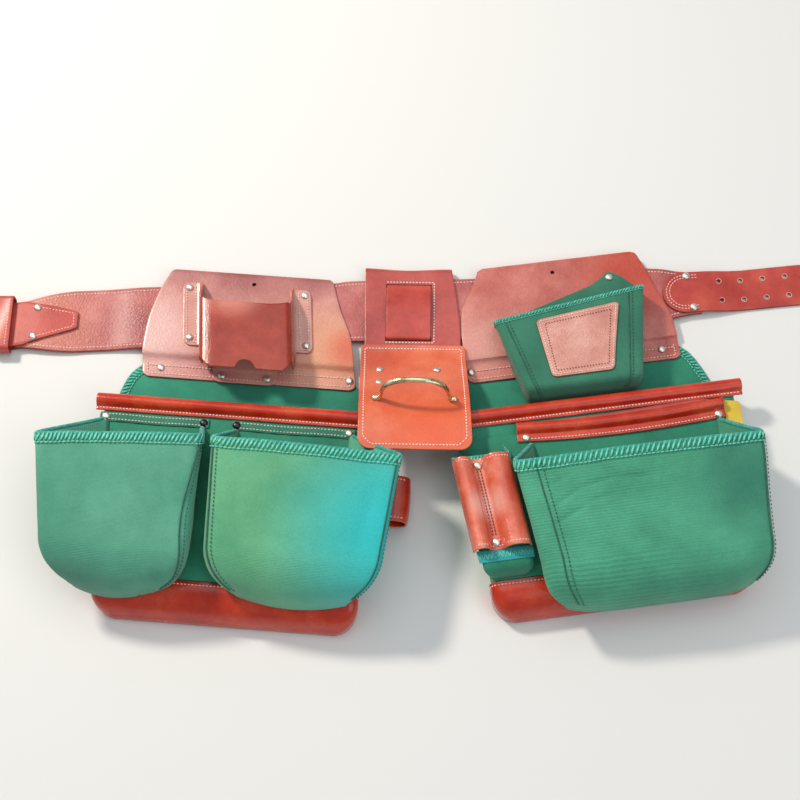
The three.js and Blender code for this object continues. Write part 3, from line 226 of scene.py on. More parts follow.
def leather(name, stops, rough, pore, depth, coat=0.25, tone_and_painted_light=()):
    """Cowhide: a dyed skin with a mottled tone, pores of a size in millimetres, creases and a wax finish, with soft
    spots of tone, painted highlight and painted shade.
    """
    material, tree, shader = new_material(name, coat_weight=coat, coat_roughness=0.22, ior=1.5,
                                          specular_ior_level=0.32)
    place = add_node(tree, "ShaderNodeTexCoord").outputs["Object"]
    mottle = add_node(tree, "ShaderNodeTexNoise", {"Scale": 26, "Detail": 5, "Roughness": 0.62},
                      {"Vector": place})
    colour = ramp(tree, stops, mottle.outputs["Fac"])
    # Soft spots of tone, painted highlight and painted shade, as each leather lists them.
    colour = tinted(tree, colour, place, tone_and_painted_light, 0.1)
    cells = add_node(tree, "ShaderNodeTexVoronoi", {"feature": "SMOOTH_F1", "Scale": 1000 / pore,
                                                    "Smoothness": 0.6},
                     {"Vector": place})
    # The grain is painted paler on its ridges and darker in its pits: a painted glare speckle and painted shade.
    speck = ramp(tree, [(0.0, 0.86), (0.7, 1.0)], cells.outputs["Distance"])
    colour = shaded(tree, colour, speck)
    tree.links.new(colour, shader.inputs["Base Color"])
    shine = ramp(tree, [(0.3, rough * 0.8), (0.7, rough * 1.25)], mottle.outputs["Fac"])
    tree.links.new(shine, shader.inputs["Roughness"])
    crease = add_node(tree, "ShaderNodeTexNoise", {"Scale": 95, "Detail": 4, "Distortion": 1.2},
                      {"Vector": place})
    height = add_node(tree, "ShaderNodeMath", {"operation": "MULTIPLY_ADD", 1: 0.55},
                      {0: crease.outputs["Fac"], 2: cells.outputs["Distance"]})
    bump = add_node(tree, "ShaderNodeBump", {"Strength": 1.0, "Distance": depth * MM},
                    {"Height": height.outputs[0]})
    tree.links.new(bump.outputs[0], shader.inputs["Normal"])
    return material


def thread(name, colour, rough=0.6):
    """Bonded nylon thread: a strand too fine to draw, so only its tone varies from stitch to stitch."""
    material, tree, shader = new_material(name, roughness=rough, sheen_weight=0.2)
    place = add_node(tree, "ShaderNodeTexCoord").outputs["Object"]
    tone = add_node(tree, "ShaderNodeTexNoise", {"Scale": 240}, {"Vector": place})
    dark, light = colour
    tree.links.new(ramp(tree, [(0.3, dark), (0.7, light)], tone.outputs["Fac"]), shader.inputs["Base Color"])
    return material


def thread_between(form, a, b, radius, flat=0.8, up=(0, 0, 1)):
    """One visible length of thread from a to b, a long bead that sinks in at both ends."""
    a, b = Vector(a), Vector(b)
    along = b - a
    length = along.length
    if length < 0.01:
        return
    along.normalize()
    side = Vector(up).cross(along)
    side = side.normalized() if side.length > 0.01 else along.orthogonal().normalized()
    top = along.cross(side)
    turn = Matrix((along, side, top)).transposed().to_4x4()
    size = Matrix.Diagonal((length * 0.5 * MM, radius * MM, radius * flat * MM, 1))
    matrix = Matrix.Translation((a + b) * 0.5 * MM) @ turn @ size
    bmesh.ops.create_uvsphere(form, u_segments=6, v_segments=5, radius=1, matrix=matrix)


def walked(points, pitch):
    """Points a pitch apart along a line of points, with the number of steps rounded to fit."""
    line = [Vector(p) for p in points]
    spans = [(b - a).length for a, b in zip(line, line[1:])]
    steps = max(2, round(sum(spans) / pitch))
    step = sum(spans) / steps
    out, done, i = [line[0]], 0.0, 0
    for k in range(1, steps):
        while i < len(spans) - 1 and done + spans[i] < k * step:
            done += spans[i]
            i += 1
        out.append(line[i].lerp(line[i + 1], (k * step - done) / max(spans[i], 1e-6)))
    return out + [line[-1]]


def stitched(form, points, pitch=3.8, share=0.76, radius=0.68, up=(0, 0, 1)):
    """A row of lockstitches along a line of points."""
    stops = walked(points, pitch)
    for a, b in zip(stops, stops[1:]):
        rest = (1 - share) / 2
        thread_between(form, a.lerp(b, rest), a.lerp(b, 1 - rest), radius, up=up)


def sewn(name, rows, colour, slot, **stitch):
    """A piece made of rows of stitches, each along a line of points."""
    form = bmesh.new()
    for row in rows:
        stitched(form, row, **stitch)
    finished(name, form, colour, slot)


pebble_leather = leather("pebbled_cowhide", [(0.25, "#9c4a48"), (0.5, "#b8635f"), (0.75, "#cf8580")], 0.42,
                         2.3, 0.5, coat=0.3, tone_and_painted_light=[((-425, -10, 8), 90, "#dd9279", 0.5),
                                                   ((-322, -20, 6), 60, "#8f3f3e", 0.4)])
cut_edge = leather("cut_leather_edge", [(0.3, "#7a2f26"), (0.7, "#b0563f")], 0.6, 1.2, 0.2, coat=0)
pale_thread = thread("pale_pink_thread", ("#e3b8ae", "#f6e6de"))


def belt_place(u, v):
    x = mix(-BELT_LEFT, BELT_RIGHT, u)
    half = curve(BELT_SHARE, x) * BELT_WIDTH / 2
    return x, belt_y(x) + mix(-half, half, v), belt_floor(x) + BELT_THICK / 2


form = bent_grid(200, 10, belt_place, size=(779, 76))
node_piece("belt_body", form, pebble_leather, "grained_leather", wall=BELT_THICK, edge=1.3, rim=cut_edge)


def belt_thread(x, side):
    """A place in the row of thread along one edge of the belt."""
    half = curve(BELT_SHARE, x) * BELT_WIDTH / 2 - 4.5
    return x, belt_y(x) + side * half, belt_floor(x) + BELT_THICK + 0.1


sewn("belt_stitching", [[belt_thread(mix(low, high, i / 24), side) for i in range(25)]
                        for low, high in ((-436, -290), (-120, -52), (46, 80),
                                          (262, 322)) for side in (-1, 1)],
     pale_thread, "grained_leather")

# Billet. A 50 mm (2 in) strap of smooth harness leather riveted to the belt's right end, with two rows of
# punched holes for the double prong, a double row of stitches round its inner end and a half-round tip.
BILLET_START = 285
BILLET_TIP = 485
BILLET_HALF = 25
HOLE_PITCH = 26
HOLE_ROWS = 24
ON_BELT = BELT_THICK + GAP
BILLET_OVER = [(285, ON_BELT), (334, ON_BELT), (348, ON_BELT * 0.8), (368, ON_BELT * 0.2), (382, 0)]


def eased_ends(u, strength=0.55):
    """A share that moves slowly near 0 and 1, so a grid is finer at its ends."""
    return mix(u, 0.5 - 0.5 * math.cos(math.pi * u), strength)


def cut_away(piece, cutter):
    """The piece without what a bmesh covers, with its modifiers made real first."""
    mesh = bpy.data.meshes.new("cutter")
    cutter.to_mesh(mesh)
    cutter.free()
    tool = bpy.data.objects.new("cutter", mesh)
    bpy.context.scene.collection.objects.link(tool)
    hole = piece.modifiers.new("hole", "BOOLEAN")
    hole.operation = "DIFFERENCE"
    hole.solver = "EXACT"
    hole.object = tool
    ready = piece.evaluated_get(bpy.context.evaluated_depsgraph_get())
    old = piece.data
    piece.data = bpy.data.meshes.new_from_object(ready)
    piece.modifiers.clear()
    piece.data.set_sharp_from_angle(angle=math.radians(35))
    bpy.data.meshes.remove(old)
    bpy.data.objects.remove(tool)
    bpy.data.meshes.remove(mesh)


def ring(form, centre, radius, thick, normal=(0, 0, 1)):
    """A thin closed ring of a round section, lying on a face."""
    turn = Vector(normal).to_track_quat("Z", "Y").to_matrix().to_4x4()
    matrix = Matrix.Translation(Vector(centre) * MM) @ turn
    start = bmesh.ops.create_circle(form, segments=8, radius=thick * MM, matrix=matrix @ Matrix.Translation(
        (radius * MM, 0, 0)) @ Matrix.Rotation(math.pi / 2, 4, "X"))["verts"]
    edges = list({edge for vert in start for edge in vert.link_edges})
    axis = turn.to_3x3() @ Vector((0, 0, 1))
    bmesh.ops.spin(form, geom=start + edges, cent=Vector(centre) * MM, axis=axis, angle=math.tau, steps=18,
                   use_merge=True)


def billet_place(u, v):
    x = mix(BILLET_START, BILLET_TIP, eased_ends(u))
    half = max(BILLET_HALF - rounding(min(x - BILLET_START, BILLET_TIP - x), BILLET_HALF), 1.2)
    z = belt_floor(x) + curve(BILLET_OVER, x) + HARNESS / 2
    return x, belt_y(x) + mix(-half, half, v), z


harness_leather = leather("harness_leather", [(0.3, "#a6362d"), (0.55, "#be483e"), (0.8, "#d1614f")], 0.36,
                          1.1, 0.22, coat=0.35)
worn_edge = thread("worn_hole_edge", ("#d58c7b", "#efb8a6"), rough=0.7)
dark_thread = thread("dark_thread", ("#4a1712", "#6b251b"), rough=0.7)

form = bent_grid(110, 14, billet_place, size=(200, 50))
billet = node_piece("billet_strap", form, harness_leather, "harness_leather", wall=HARNESS,
                    edge=0.8, rim=cut_edge)
holes = bmesh.new()
rings = bmesh.new()
for pair in range(5):
    x = BELT_RIGHT + 22 + pair * HOLE_PITCH
    lean = (belt_y(x + 1) - belt_y(x)) * HOLE_ROWS
    for side in (-0.5, 0.5):
        spot = (x - side * lean, belt_y(x) + side * HOLE_ROWS, billet_place(0.5, 0.5)[2])
        at = Matrix.Translation(Vector(spot) * MM)
        bmesh.ops.create_cone(holes, cap_ends=True, segments=20, radius1=2.6 * MM, radius2=2.6 * MM,
                              depth=0.03, matrix=at)
        top = curve(BILLET_OVER, spot[0]) + belt_floor(spot[0]) + HARNESS + 0.05
        ring(rings, (spot[0], spot[1], top), 3.0, 0.42)
cut_away(billet, holes)
finished("billet_hole_edges", rings, worn_edge, "harness_leather")


def on_strap(x, across):
    """A place for thread on the face of a strap that lies on the belt, across from its middle line."""
    return x, belt_y(x) + across, belt_floor(x) + ON_BELT + HARNESS + 0.05


rows = []
middle = BILLET_START + BILLET_HALF
for radius in (BILLET_HALF - 4, BILLET_HALF - 7.5):
    turns = [mix(-math.pi / 2, math.pi / 2, i / 40) for i in range(41)]
    arc = [on_strap(middle - radius * math.cos(turn), radius * math.sin(turn)) for turn in turns]
    rows.append([on_strap(middle + 16, -radius)] + arc + [on_strap(middle + 16, radius)])
sewn("billet_stitching", rows, pale_thread, "harness_leather", pitch=3.6, radius=0.62)

# Buckle strap. A strip of the same leather folded round the buckle's bar, over and under the belt's left
# end, narrowing to a square-tipped tab that is stitched along both sides and held by two rivets.
BUCKLE_Y = belt_y(-452)


def line_through(points):
    """A smooth line through points, as a function of the share of its length."""
    points = [Vector(p) for p in points]
    stops = [0.0]
    for a, b in zip(points, points[1:]):
        stops.append(stops[-1] + max((b - a).length, 1e-6))
    last = len(points) - 1

    def tangent(i):
        before = (points[max(i, 1)] - points[max(i, 1) - 1]) / (stops[max(i, 1)] - stops[max(i, 1) - 1])
        i = min(i, last - 1)
        after = (points[i + 1] - points[i]) / (stops[i + 1] - stops[i])
        return (before + after) * 0.5

    tangents = [tangent(i) for i in range(last + 1)]

    def at(share):
        done = min(max(share, 0), 1) * stops[-1]
        i = next((k for k in range(last) if stops[k + 1] >= done), last - 1)
        width = stops[i + 1] - stops[i]
        s = (done - stops[i]) / width
        return (points[i] * ((1 + 2 * s) * (1 - s) ** 2) + tangents[i] * (width * s * (1 - s) ** 2)
                + points[i + 1] * (s * s * (3 - 2 * s)) - tangents[i + 1] * (width * s * s * (1 - s)))

    return at, stops[-1]


tab = [(x, 0, belt_floor(x) + ON_BELT + HARNESS / 2) for x in (-380, -388, -396, -404, -412, -420, -436)]
bend = [(-452, 0, 10.1), (-466, 0, 10.1), (-477.6, 0, 10.1), (-481, 0, 8.8), (-482.2, 0, 5.8), (-481, 0, 2.8),
        (-477.6, 0, 1.6), (-474, 0, 1.5), (-466, 0, 1.5), (-452, 0, 1.5), (-436, 0, 1.5), (-420, 0, 1.5)]
strap_line, strap_length = line_through(tab + bend)
TAB_HALF = [(-482, 27), (-440, 27), (-432, 24.5), (-387, 12.4), (-380, 9.8)]
UNDER_HALF = [(-482, 27), (-440, 27), (-420, 21.6)]


def buckle_strap_place(u, v):
    x, _, z = strap_line(u)
    half = curve(TAB_HALF if u < 0.5 else UNDER_HALF, x)
    return x, belt_y(max(x, -452)) + mix(-half, half, v), z


form = bent_grid(110, 12, buckle_strap_place, size=(strap_length, 54))
strap = node_piece("buckle_strap", form, harness_leather, "harness_leather", wall=HARNESS, edge=0.8,
                   rim=cut_edge)
slots = bmesh.new()
for side in (-12, 12):
    at = Matrix.Translation(Vector((-481, BUCKLE_Y + side, 9)) * MM)
    bmesh.ops.create_cube(slots, size=1, matrix=at @ Matrix.Diagonal((0.016, 0.006, 0.0125, 1)))
cut_away(strap, slots)

tab_rows = [(-432, 19.5), (-424, 17.8), (-390, 9.4), (-384.5, 7.6)]
upper = [on_strap(x, half) for x, half in tab_rows]
lower = [on_strap(x, -half) for x, half in reversed(tab_rows)]
sewn("buckle_tab_stitching", [upper, [upper[-1], lower[0]], lower], pale_thread, "harness_leather", pitch=3.6,
     radius=0.62)

# Keeper. A closed band of the same leather, sewn in beside the buckle, that holds the billet's tip down.
KEEPER_END = -452.6
KEEPER_LONG = 20


def rounded_box(u, half_y, low, high, radius):
    """A point on a rounded rectangle in (y, z), by the share of the way round from the middle of its foot."""
    wide, tall = 2 * (half_y - radius), high - low - 2 * radius
    arc = math.pi * radius / 2
    runs = [wide / 2, arc, tall, arc, wide, arc, tall, arc, wide / 2]
    at = (u % 1) * sum(runs)
    y, z, turn = 0.0, low, 0.0
    for i, run in enumerate(runs):
        part = min(at, run)
        if i % 2:
            angle = part / radius
            y += radius * (math.sin(turn + angle) - math.sin(turn))
            z -= radius * (math.cos(turn + angle) - math.cos(turn))
            turn += angle
        else:
            y, z = y + math.cos(turn) * part, z + math.sin(turn) * part
        at -= part
        if at <= 0:
            break
    return y, z


def keeper_place(u, v):
    y, z = rounded_box(u, 32.6, 4.4, 17.7, 3)
    wave = 0.25 * math.sin(9 * u + 4 * v)
    return KEEPER_END - mix(KEEPER_LONG, 0, v), BUCKLE_Y + y, z + wave


form = bent_grid(96, 6, keeper_place, size=(170, 20), weld=True)
node_piece("belt_keeper", form, harness_leather, "harness_leather", wall=2.2, edge=0.7, rim=cut_edge)
sewn("keeper_stitching", [[(KEEPER_END - 4, BUCKLE_Y + y, 18.95) for y in (-29, 0, 29)]], pale_thread,
     "harness_leather", pitch=3.6, radius=0.62)

# Buckle. A double-prong roller buckle of nickel-plated steel wire: a rounded frame, a heel bar in the
# strap's fold, a roller and two prongs bent round the bar.


def tube(line, radius, sides=12, steps=40, up=(0, 0, 1), closed=False, flat=1.0):
    """A wire along a line: closed on itself, or with rounded ends."""
    def place(u, v):
        here = line(u)
        ahead, behind = (line((u + 0.004) % 1), line((u - 0.004) % 1)) if closed else (
            line(min(u + 0.004, 1)), line(max(u - 0.004, 0)))
        along = (ahead - behind).normalized()
        side = Vector(up).cross(along).normalized()
        top = along.cross(side)
        size = radius(u) if callable(radius) else radius
        if not closed:
            size *= math.sqrt(max(0.0, 1 - max(0, 1 - min(u, 1 - u) / 0.02) ** 2))
        turn = math.tau * v
        return here + side * (math.cos(turn) * size) + top * (math.sin(turn) * size * flat)
    return bent_grid(steps, sides, place, weld=True)


def joined(form, other):
    """Both bmeshes as one; the second is used up."""
    mesh = bpy.data.meshes.new("joined")
    other.to_mesh(mesh)
    other.free()
    form.from_mesh(mesh)
    bpy.data.meshes.remove(mesh)
    return form


nickel, tree, shader = new_material("nickel_plated_steel", metallic=1.0, roughness=0.4,
                                    base_color=hex_colour("#e6e1d6"))
place = add_node(tree, "ShaderNodeTexCoord").outputs["Object"]
wear = add_node(tree, "ShaderNodeTexNoise", {"Scale": 420, "Detail": 3}, {"Vector": place})
tree.links.new(ramp(tree, [(0.35, 0.3), (0.7, 0.52)], wear.outputs["Fac"]), shader.inputs["Roughness"])
tone = add_node(tree, "ShaderNodeTexNoise", {"Scale": 160}, {"Vector": place})
tree.links.new(ramp(tree, [(0.3, "#d8d2c6"), (0.7, "#f4efe6")], tone.outputs["Fac"]),
               shader.inputs["Base Color"])

HEEL = -477.6
ROLLER = -533.3
BUCKLE_LEVEL = 5.8


def buckle_frame(u):
    y, x = rounded_box(u, 33.7, ROLLER, HEEL, 7)
    return Vector((x, BUCKLE_Y + y, BUCKLE_LEVEL))


buckle = tube(buckle_frame, 2.3, sides=12, steps=96, closed=True)
roller, _ = line_through([(ROLLER, BUCKLE_Y - 26, BUCKLE_LEVEL), (ROLLER, BUCKLE_Y + 26, BUCKLE_LEVEL)])
joined(buckle, tube(roller, 3.1, sides=16, steps=30))
for side in (-12, 12):
    prong, _ = line_through([(HEEL + 3, BUCKLE_Y + side, 3.2), (HEEL + 3.4, BUCKLE_Y + side, 7),
                             (HEEL, BUCKLE_Y + side, 9.6), (HEEL - 12, BUCKLE_Y + side, 10),
                             (ROLLER + 8, BUCKLE_Y + side, 10.2), (ROLLER - 4.5, BUCKLE_Y + side, 10)])
    joined(buckle, tube(prong, lambda u: mix(2.2, 1.5, u), sides=10, steps=40))
node_piece("belt_buckle", buckle, nickel, "rivet_steel")

# Left bag's back. A flat panel of foam-backed green nylon, 3 mm thick, that hangs from the yoke and carries
# the large bag; its showing edge is bound with whipped teal thread.
FRONT_LEAF = BELT_FLOOR + BELT_THICK + GAP
YOKE_TOP = FRONT_LEAF + LEATHER
BAND_FLOOR = FABRIC + GAP
BAND_TOP = BAND_FLOOR + LEATHER
MAIN_DEPTH = 32
PANEL_FLOOR = BAND_FLOOR + MAIN_DEPTH + GAP
POUCH_FLOOR = PANEL_FLOOR + FABRIC + GAP
BAND_START = -57
LEFT_HALF = 140.5
LEFT_DROP = 355
LEFT_MOUTH = 129
BOOT_TALL = 34


def laid(turn, across, up):
    """Moves a point of a bag's own frame to where the bag lies."""
    angle = math.radians(turn)
    cos, sin = math.cos(angle), math.sin(angle)
    return lambda p: Vector((across + p[0] * cos - p[1] * sin, up + p[0] * sin + p[1] * cos, p[2]))


on_left = laid(-4.5, -185.5, -6.3)


def fabric(name, dark, light, tints=(), rib=0, rib_fade=None, weave=1.3):
    """Foam-backed woven nylon: a matt cloth with threads about 0.5 mm apart, drawn 1.3 mm apart to show."""
    material, tree, shader = new_material(name, roughness=0.78, sheen_weight=0.25, sheen_roughness=0.45)
    coordinates = add_node(tree, "ShaderNodeTexCoord")
    place, surface = coordinates.outputs["Object"], coordinates.outputs["UV"]
    mottle = add_node(tree, "ShaderNodeTexNoise", {"Scale": 16, "Detail": 4, "Roughness": 0.6},
                      {"Vector": place})
    colour = ramp(tree, [(0.3, dark), (0.7, light)], mottle.outputs["Fac"])
    colour = tinted(tree, colour, place, tints, 0.15)
    grain = add_node(tree, "ShaderNodeTexNoise", {"Scale": 900, "Detail": 2}, {"Vector": place})
    speck = ramp(tree, [(0.3, 0.8), (0.7, 1.0)], grain.outputs["Fac"])
    colour = shaded(tree, colour, speck)
    # Warp and weft are two bands of waves across the piece's own width and drop.
    size = 2 * math.pi / (20 * weave * MM)
    warp = add_node(tree, "ShaderNodeTexWave", {"bands_direction": "X", "Scale": size, "Distortion": 0.6,
                                                "Detail Scale": 3}, {"Vector": surface})
    weft = add_node(tree, "ShaderNodeTexWave", {"bands_direction": "Y", "Scale": size, "Distortion": 0.6,
                                                "Detail Scale": 3}, {"Vector": surface})
    cloth = add_node(tree, "ShaderNodeMath", {"operation": "ADD"}, {0: warp.outputs["Fac"],
                                                                    1: weft.outputs["Fac"]})
    height = cloth.outputs[0]
    if rib:
        ribs = add_node(tree, "ShaderNodeTexWave", {"bands_direction": "Y",
                                                    "Scale": 2 * math.pi / (20 * rib * MM),
                        "Distortion": 1.5, "Detail": 2, "Detail Scale": 1.2}, {"Vector": surface})
        strength = ribs.outputs["Fac"]
        if rib_fade:
            split = add_node(tree, "ShaderNodeSeparateXYZ", {}, {0: place})
            fade = add_node(tree, "ShaderNodeMapRange", {"interpolation_type": "SMOOTHSTEP",
                                                         "From Min": rib_fade[0] * MM,
                            "From Max": rib_fade[1] * MM, "To Min": 1, "To Max": 0.15},
                            {"Value": split.outputs["X"]})
            strength = add_node(tree, "ShaderNodeMath", {"operation": "MULTIPLY"},
                                {0: fade.outputs[0], 1: ribs.outputs["Fac"]}).outputs[0]
        tall = add_node(tree, "ShaderNodeMath", {"operation": "MULTIPLY_ADD", 1: 2.4},
                        {0: strength, 2: height})
        height = tall.outputs[0]
        # The rib grooves are painted darker: painted shade in the ribs.
        shade = ramp(tree, [(0.0, 0.8), (0.6, 1.0)], strength)
        colour = shaded(tree, colour, shade, 0.7)
    tree.links.new(colour, shader.inputs["Base Color"])
    bump = add_node(tree, "ShaderNodeBump", {"Strength": 0.7, "Distance": 0.22 * MM}, {"Height": height})
    tree.links.new(bump.outputs[0], shader.inputs["Normal"])
    return material


def outline_sheet(corners, move, level):
    """A flat sheet from its corners (x, y, radius), rounded and cut into a grid for its pattern."""
    form = bmesh.new()
    verts = [form.verts.new(Vector((x, y, 0))) for x, y, _ in corners]
    form.faces.new(verts)
    for vert, (_, _, radius) in zip(verts, corners):
        if radius:
            bmesh.ops.bevel(form, geom=[vert], offset=radius, offset_type="OFFSET", segments=8, profile=0.5,
                            affect="VERTICES", material=-1)
    layer = form.loops.layers.uv.new("UVMap")
    for face in form.faces:
        for loop in face.loops:
            loop[layer].uv = (loop.vert.co.x * MM, loop.vert.co.y * MM)
    for vert in form.verts:
        vert.co = move((vert.co.x, vert.co.y, level)) * MM
    bmesh.ops.recalc_face_normals(form, faces=form.faces)
    return form


def whipped(cords, loops, line, out, up, pitch=4.3, tall=6.2, width=1.0, core=2.3):
    """A whip-stitched binding round a cloth edge: a padded core, slanted loops over it and a chain below.

    line, out and up are functions of the share of the way along: the edge, the side that shows and the edge's
    own direction away from the cloth."""
    points = [line(i / 60) for i in range(61)]
    total = sum((b - a).length for a, b in zip(points, points[1:]))
    joined(cords, tube(lambda u: line(u) + up(u) * 0.2, core, sides=8, steps=max(12, int(total / 5)),
                       flat=0.8))
    count = max(3, round(total / pitch))
    for i in range(count):
        u, w = (i + 0.1) / count, min(1.0, (i + 1.15) / count)
        sway = 0.3 * math.sin(i * 2.4)
        low = line(u) + out(u) * (core + 0.1) - up(u) * (tall - 1.5 + sway)
        high = line(w) + out(w) * (core * 0.75) + up(w) * (core * 0.75)
        over = line(w) - out(w) * (core * 0.9) + up(w) * (core * 0.4)
        thread_between(loops, low, high, width, up=out(u))
        thread_between(loops, high, over, width * 0.9, up=up(u))
    chain = [line(i / count) + out(i / count) * (core + 0.3) - up(i / count) * (tall - 0.6)
             for i in range(count + 1)]
    stitched(loops, chain, pitch=pitch * 0.9, share=0.95, radius=width * 0.75, up=(0, 0, 1))


back_green = fabric("green_foam_nylon_back", "#1c7d63", "#2f9a7b")
teal_cord = thread("teal_binding_cord", ("#1d7f72", "#2fa595"))
teal_loops = thread("teal_whip_thread", ("#2bab93", "#74dcc4"), rough=0.45)

left_back = [(-1, -66, -0.76), (-1, -81, -0.87), (-1, -97, -0.92), (-1, -116, -0.95), (-1, -325, -0.84),
             (-1, -340, -0.82)]
right_back = [(1, -66, 0.84), (1, -81, 0.93), (1, -97, 0.98), (1, -116, 1.02), (1, -325, 1.06),
              (1, -340, 1.04)]
corners = [(x * LEFT_HALF, y, 3) for _, y, x in left_back]
corners += [(x * LEFT_HALF, y, 3) for _, y, x in reversed(right_back)]
form = outline_sheet(corners, on_left, FABRIC / 2)
node_piece("left_back_panel", form, back_green, "green_fabric", wall=FABRIC, edge=0.9)


def bound_edge(name, points, move, inner):
    """The whipped binding along the showing edge of a back panel; inner is a point on the cloth's side."""
    line, _ = line_through([move((x, y, FABRIC / 2 + 0.9)) for x, y in points])
    inside = move((*inner, FABRIC / 2 + 0.9))

    def away(u):
        along = (line(min(u + 0.02, 1)) - line(max(u - 0.02, 0))).normalized()
        side = Vector((0, 0, 1)).cross(along).normalized()
        return side if side.dot(line(u) - inside) > 0 else -side
    cords, loops = bmesh.new(), bmesh.new()
    whipped(cords, loops, line, lambda u: Vector((0, 0, 1)), away, pitch=4.6, tall=8.5, width=1.0, core=1.4)
    finished(name + "_cord", cords, teal_cord, "green_fabric")
    finished(name + "_whipping", loops, teal_loops, "green_fabric")


left_edge = [(x * LEFT_HALF, y) for _, y, x in left_back[:4]] + [(-0.95 * LEFT_HALF, -124)]
bound_edge("left_back_binding", left_edge, on_left, (-40, -110))

# Left large bag. One shell of the same fabric, open at the waist side of its mouth and rolled under at the
# foot, that stands 32 mm deep behind the two pouches.


def side_of(row, at, half, drop):
    """One side of a bag, at 0 for its left and 2 for its right. A row holds the foot's share of the drop, the
    back and the mouth as (left, its drop, right, its drop), and the foot as (left, its back, right, its
    back)."""
    _, back, mouth, low = row
    return {
        "back": (back[at] * half, -drop * back[at + 1]),
        "mouth": (mouth[at] * half, -drop * mouth[at + 1]),
        "low_back": low[at + 1] * half,
        "low_front": low[at] * half,
    }


def bag_form(half, drop, row, **sizes):
    bag = {"crown": 0, "slump": 1, "taper": 1, **sizes}
    bag["bottom"] = -drop * row[0]
    bag["left"], bag["right"] = side_of(row, 0, half, drop), side_of(row, 2, half, drop)
    return bag


def bag_level(bag, out, down):
    """A level of a bag's wall: down runs 0 to 1 from the mouth to the roll, and 1 to 2 round the roll."""
    angle = math.pi / 2 * (2 - max(1, min(down, 2)))
    t = min(down, 1)
    roll_top = bag["bottom"] + bag["roll"]
    rolled = down > 1
    low_depth = bag["depth"] * bag["taper"]
    depth = (low_depth + out) * math.sin(angle) if rolled else mix(bag["depth"], low_depth, t) + out
    radius = bag["corner"] + out

    def height(top):
        return roll_top - (bag["roll"] + out) * math.cos(angle) if rolled else mix(top, roll_top, t)

    def inset(y):
        below = min(max(bag["bottom"] + bag["corner"] - y, 0), radius)
        return radius - math.sqrt(radius * radius - below * below)

    level = {"depth": depth}
    for name, sign in (("left", 1), ("right", -1)):
        side = bag[name]
        inward = sign * (inset(height(side["mouth"][1])) - out)
        level[name] = {
            "back": mix(side["back"][0], side["low_back"], t) + inward,
            "front": mix(side["mouth"][0], side["low_front"], t) + inward,
            "back_y": height(side["back"][1]),
            "front_y": height(side["mouth"][1]),
        }
    return level


def bag_front(bag, level, u):
    """A point across the front of a level, swollen in the middle and creased as the bag says."""
    swell = 1 + bag["crown"] / bag["depth"] * (1 - (2 * u - 1) ** 2)
    left, right = level["left"], level["right"]
    return Vector((mix(left["front"], right["front"], u), mix(left["front_y"], right["front_y"], u),
                   level["depth"] * swell + bag["floor"]))


def bag_gusset(bag, side, depth, s):
    y = mix(side["back_y"], side["front_y"], max(s, 0) ** bag["slump"])
    return Vector((mix(side["back"], side["front"], s), y, s * depth + bag["floor"]))


GUSSET = 0.13
CORNER = 0.07


def foot_lift(bag, off, down):
    """How far a padded pouch's foot has drawn up: off runs from 0 in its middle to 1 at its lower corners."""
    return 7.5 * abs(off) ** bag["bow"] * max(0, down - 0.7) / 1.3


def bag_point(bag, out, u, down):
    """A point on a bag's wall: u runs up one gusset, round the edge, across the front and down the other.
    A padded pouch's foot is blurred along its drop, so that its lower corners come out soft."""
    if "shape" not in bag or down < 0.8:
        return sharp_point(bag, out, u, down)
    spread = 0.13 * min(1, (down - 0.8) / 0.4)
    point = Vector()
    for step, weight in zip((-2, -1, 0, 1, 2), (0.1, 0.23, 0.34, 0.23, 0.1)):
        point += sharp_point(bag, out, u, min(2, max(0.8, down + step * spread))) * weight
    point.z = mix(point.z, bag["floor"], max(0, down - 1.8) / 0.2)
    across = (u - GUSSET - CORNER) / (1 - 2 * (GUSSET + CORNER))
    point.y += foot_lift(bag, 2 * min(1, max(0, across)) - 1, down)
    return point


def sharp_point(bag, out, u, down):
    level = bag_level(bag, out, down)
    depth = level["depth"]
    mirrored = u > 0.5
    side = level["right"] if mirrored else level["left"]
    span = level["right"]["front"] - level["left"]["front"]
    edge = min(bag["edge"], depth * 0.8, span * 0.3)
    w = 1 - u if mirrored else u
    if w < GUSSET:
        point = bag_gusset(bag, side, depth, w / GUSSET * (1 - edge / max(depth, 0.01)))
    elif w < GUSSET + CORNER:
        s = (w - GUSSET) / CORNER
        across = edge / span
        start = bag_gusset(bag, side, depth, 1 - edge / max(depth, 0.01))
        middle = bag_gusset(bag, side, depth, 1)
        end = bag_front(bag, level, 1 - across if mirrored else across)
        point = start * (1 - s) ** 2 + middle * 2 * s * (1 - s) + end * s * s
    else:
        across = edge / span
        s = mix(across, 1 - across, (u - GUSSET - CORNER) / (1 - 2 * (GUSSET + CORNER)))
        point = bag_front(bag, level, s)
    if "shape" in bag:
        point = bag["shape"](point, u)
    return point


def bag_sheet(bag, move, wall, columns=72, straight=26, roll=14):
    """The shell of a bag, as the middle of its wall."""
    rows = straight + roll
    share = straight / rows

    def place(u, v):
        down = v / share if v < share else 1 + (v - share) / (1 - share)
        return move(bag_point(bag, -wall / 2, u, down))
    drop = bag["left"]["mouth"][1] - bag["bottom"]
    width = bag["right"]["mouth"][0] - bag["left"]["mouth"][0] + 2 * bag["depth"]
    return bent_grid(columns, rows, place, size=(width, drop + bag["depth"] * 0.4), weld=True)


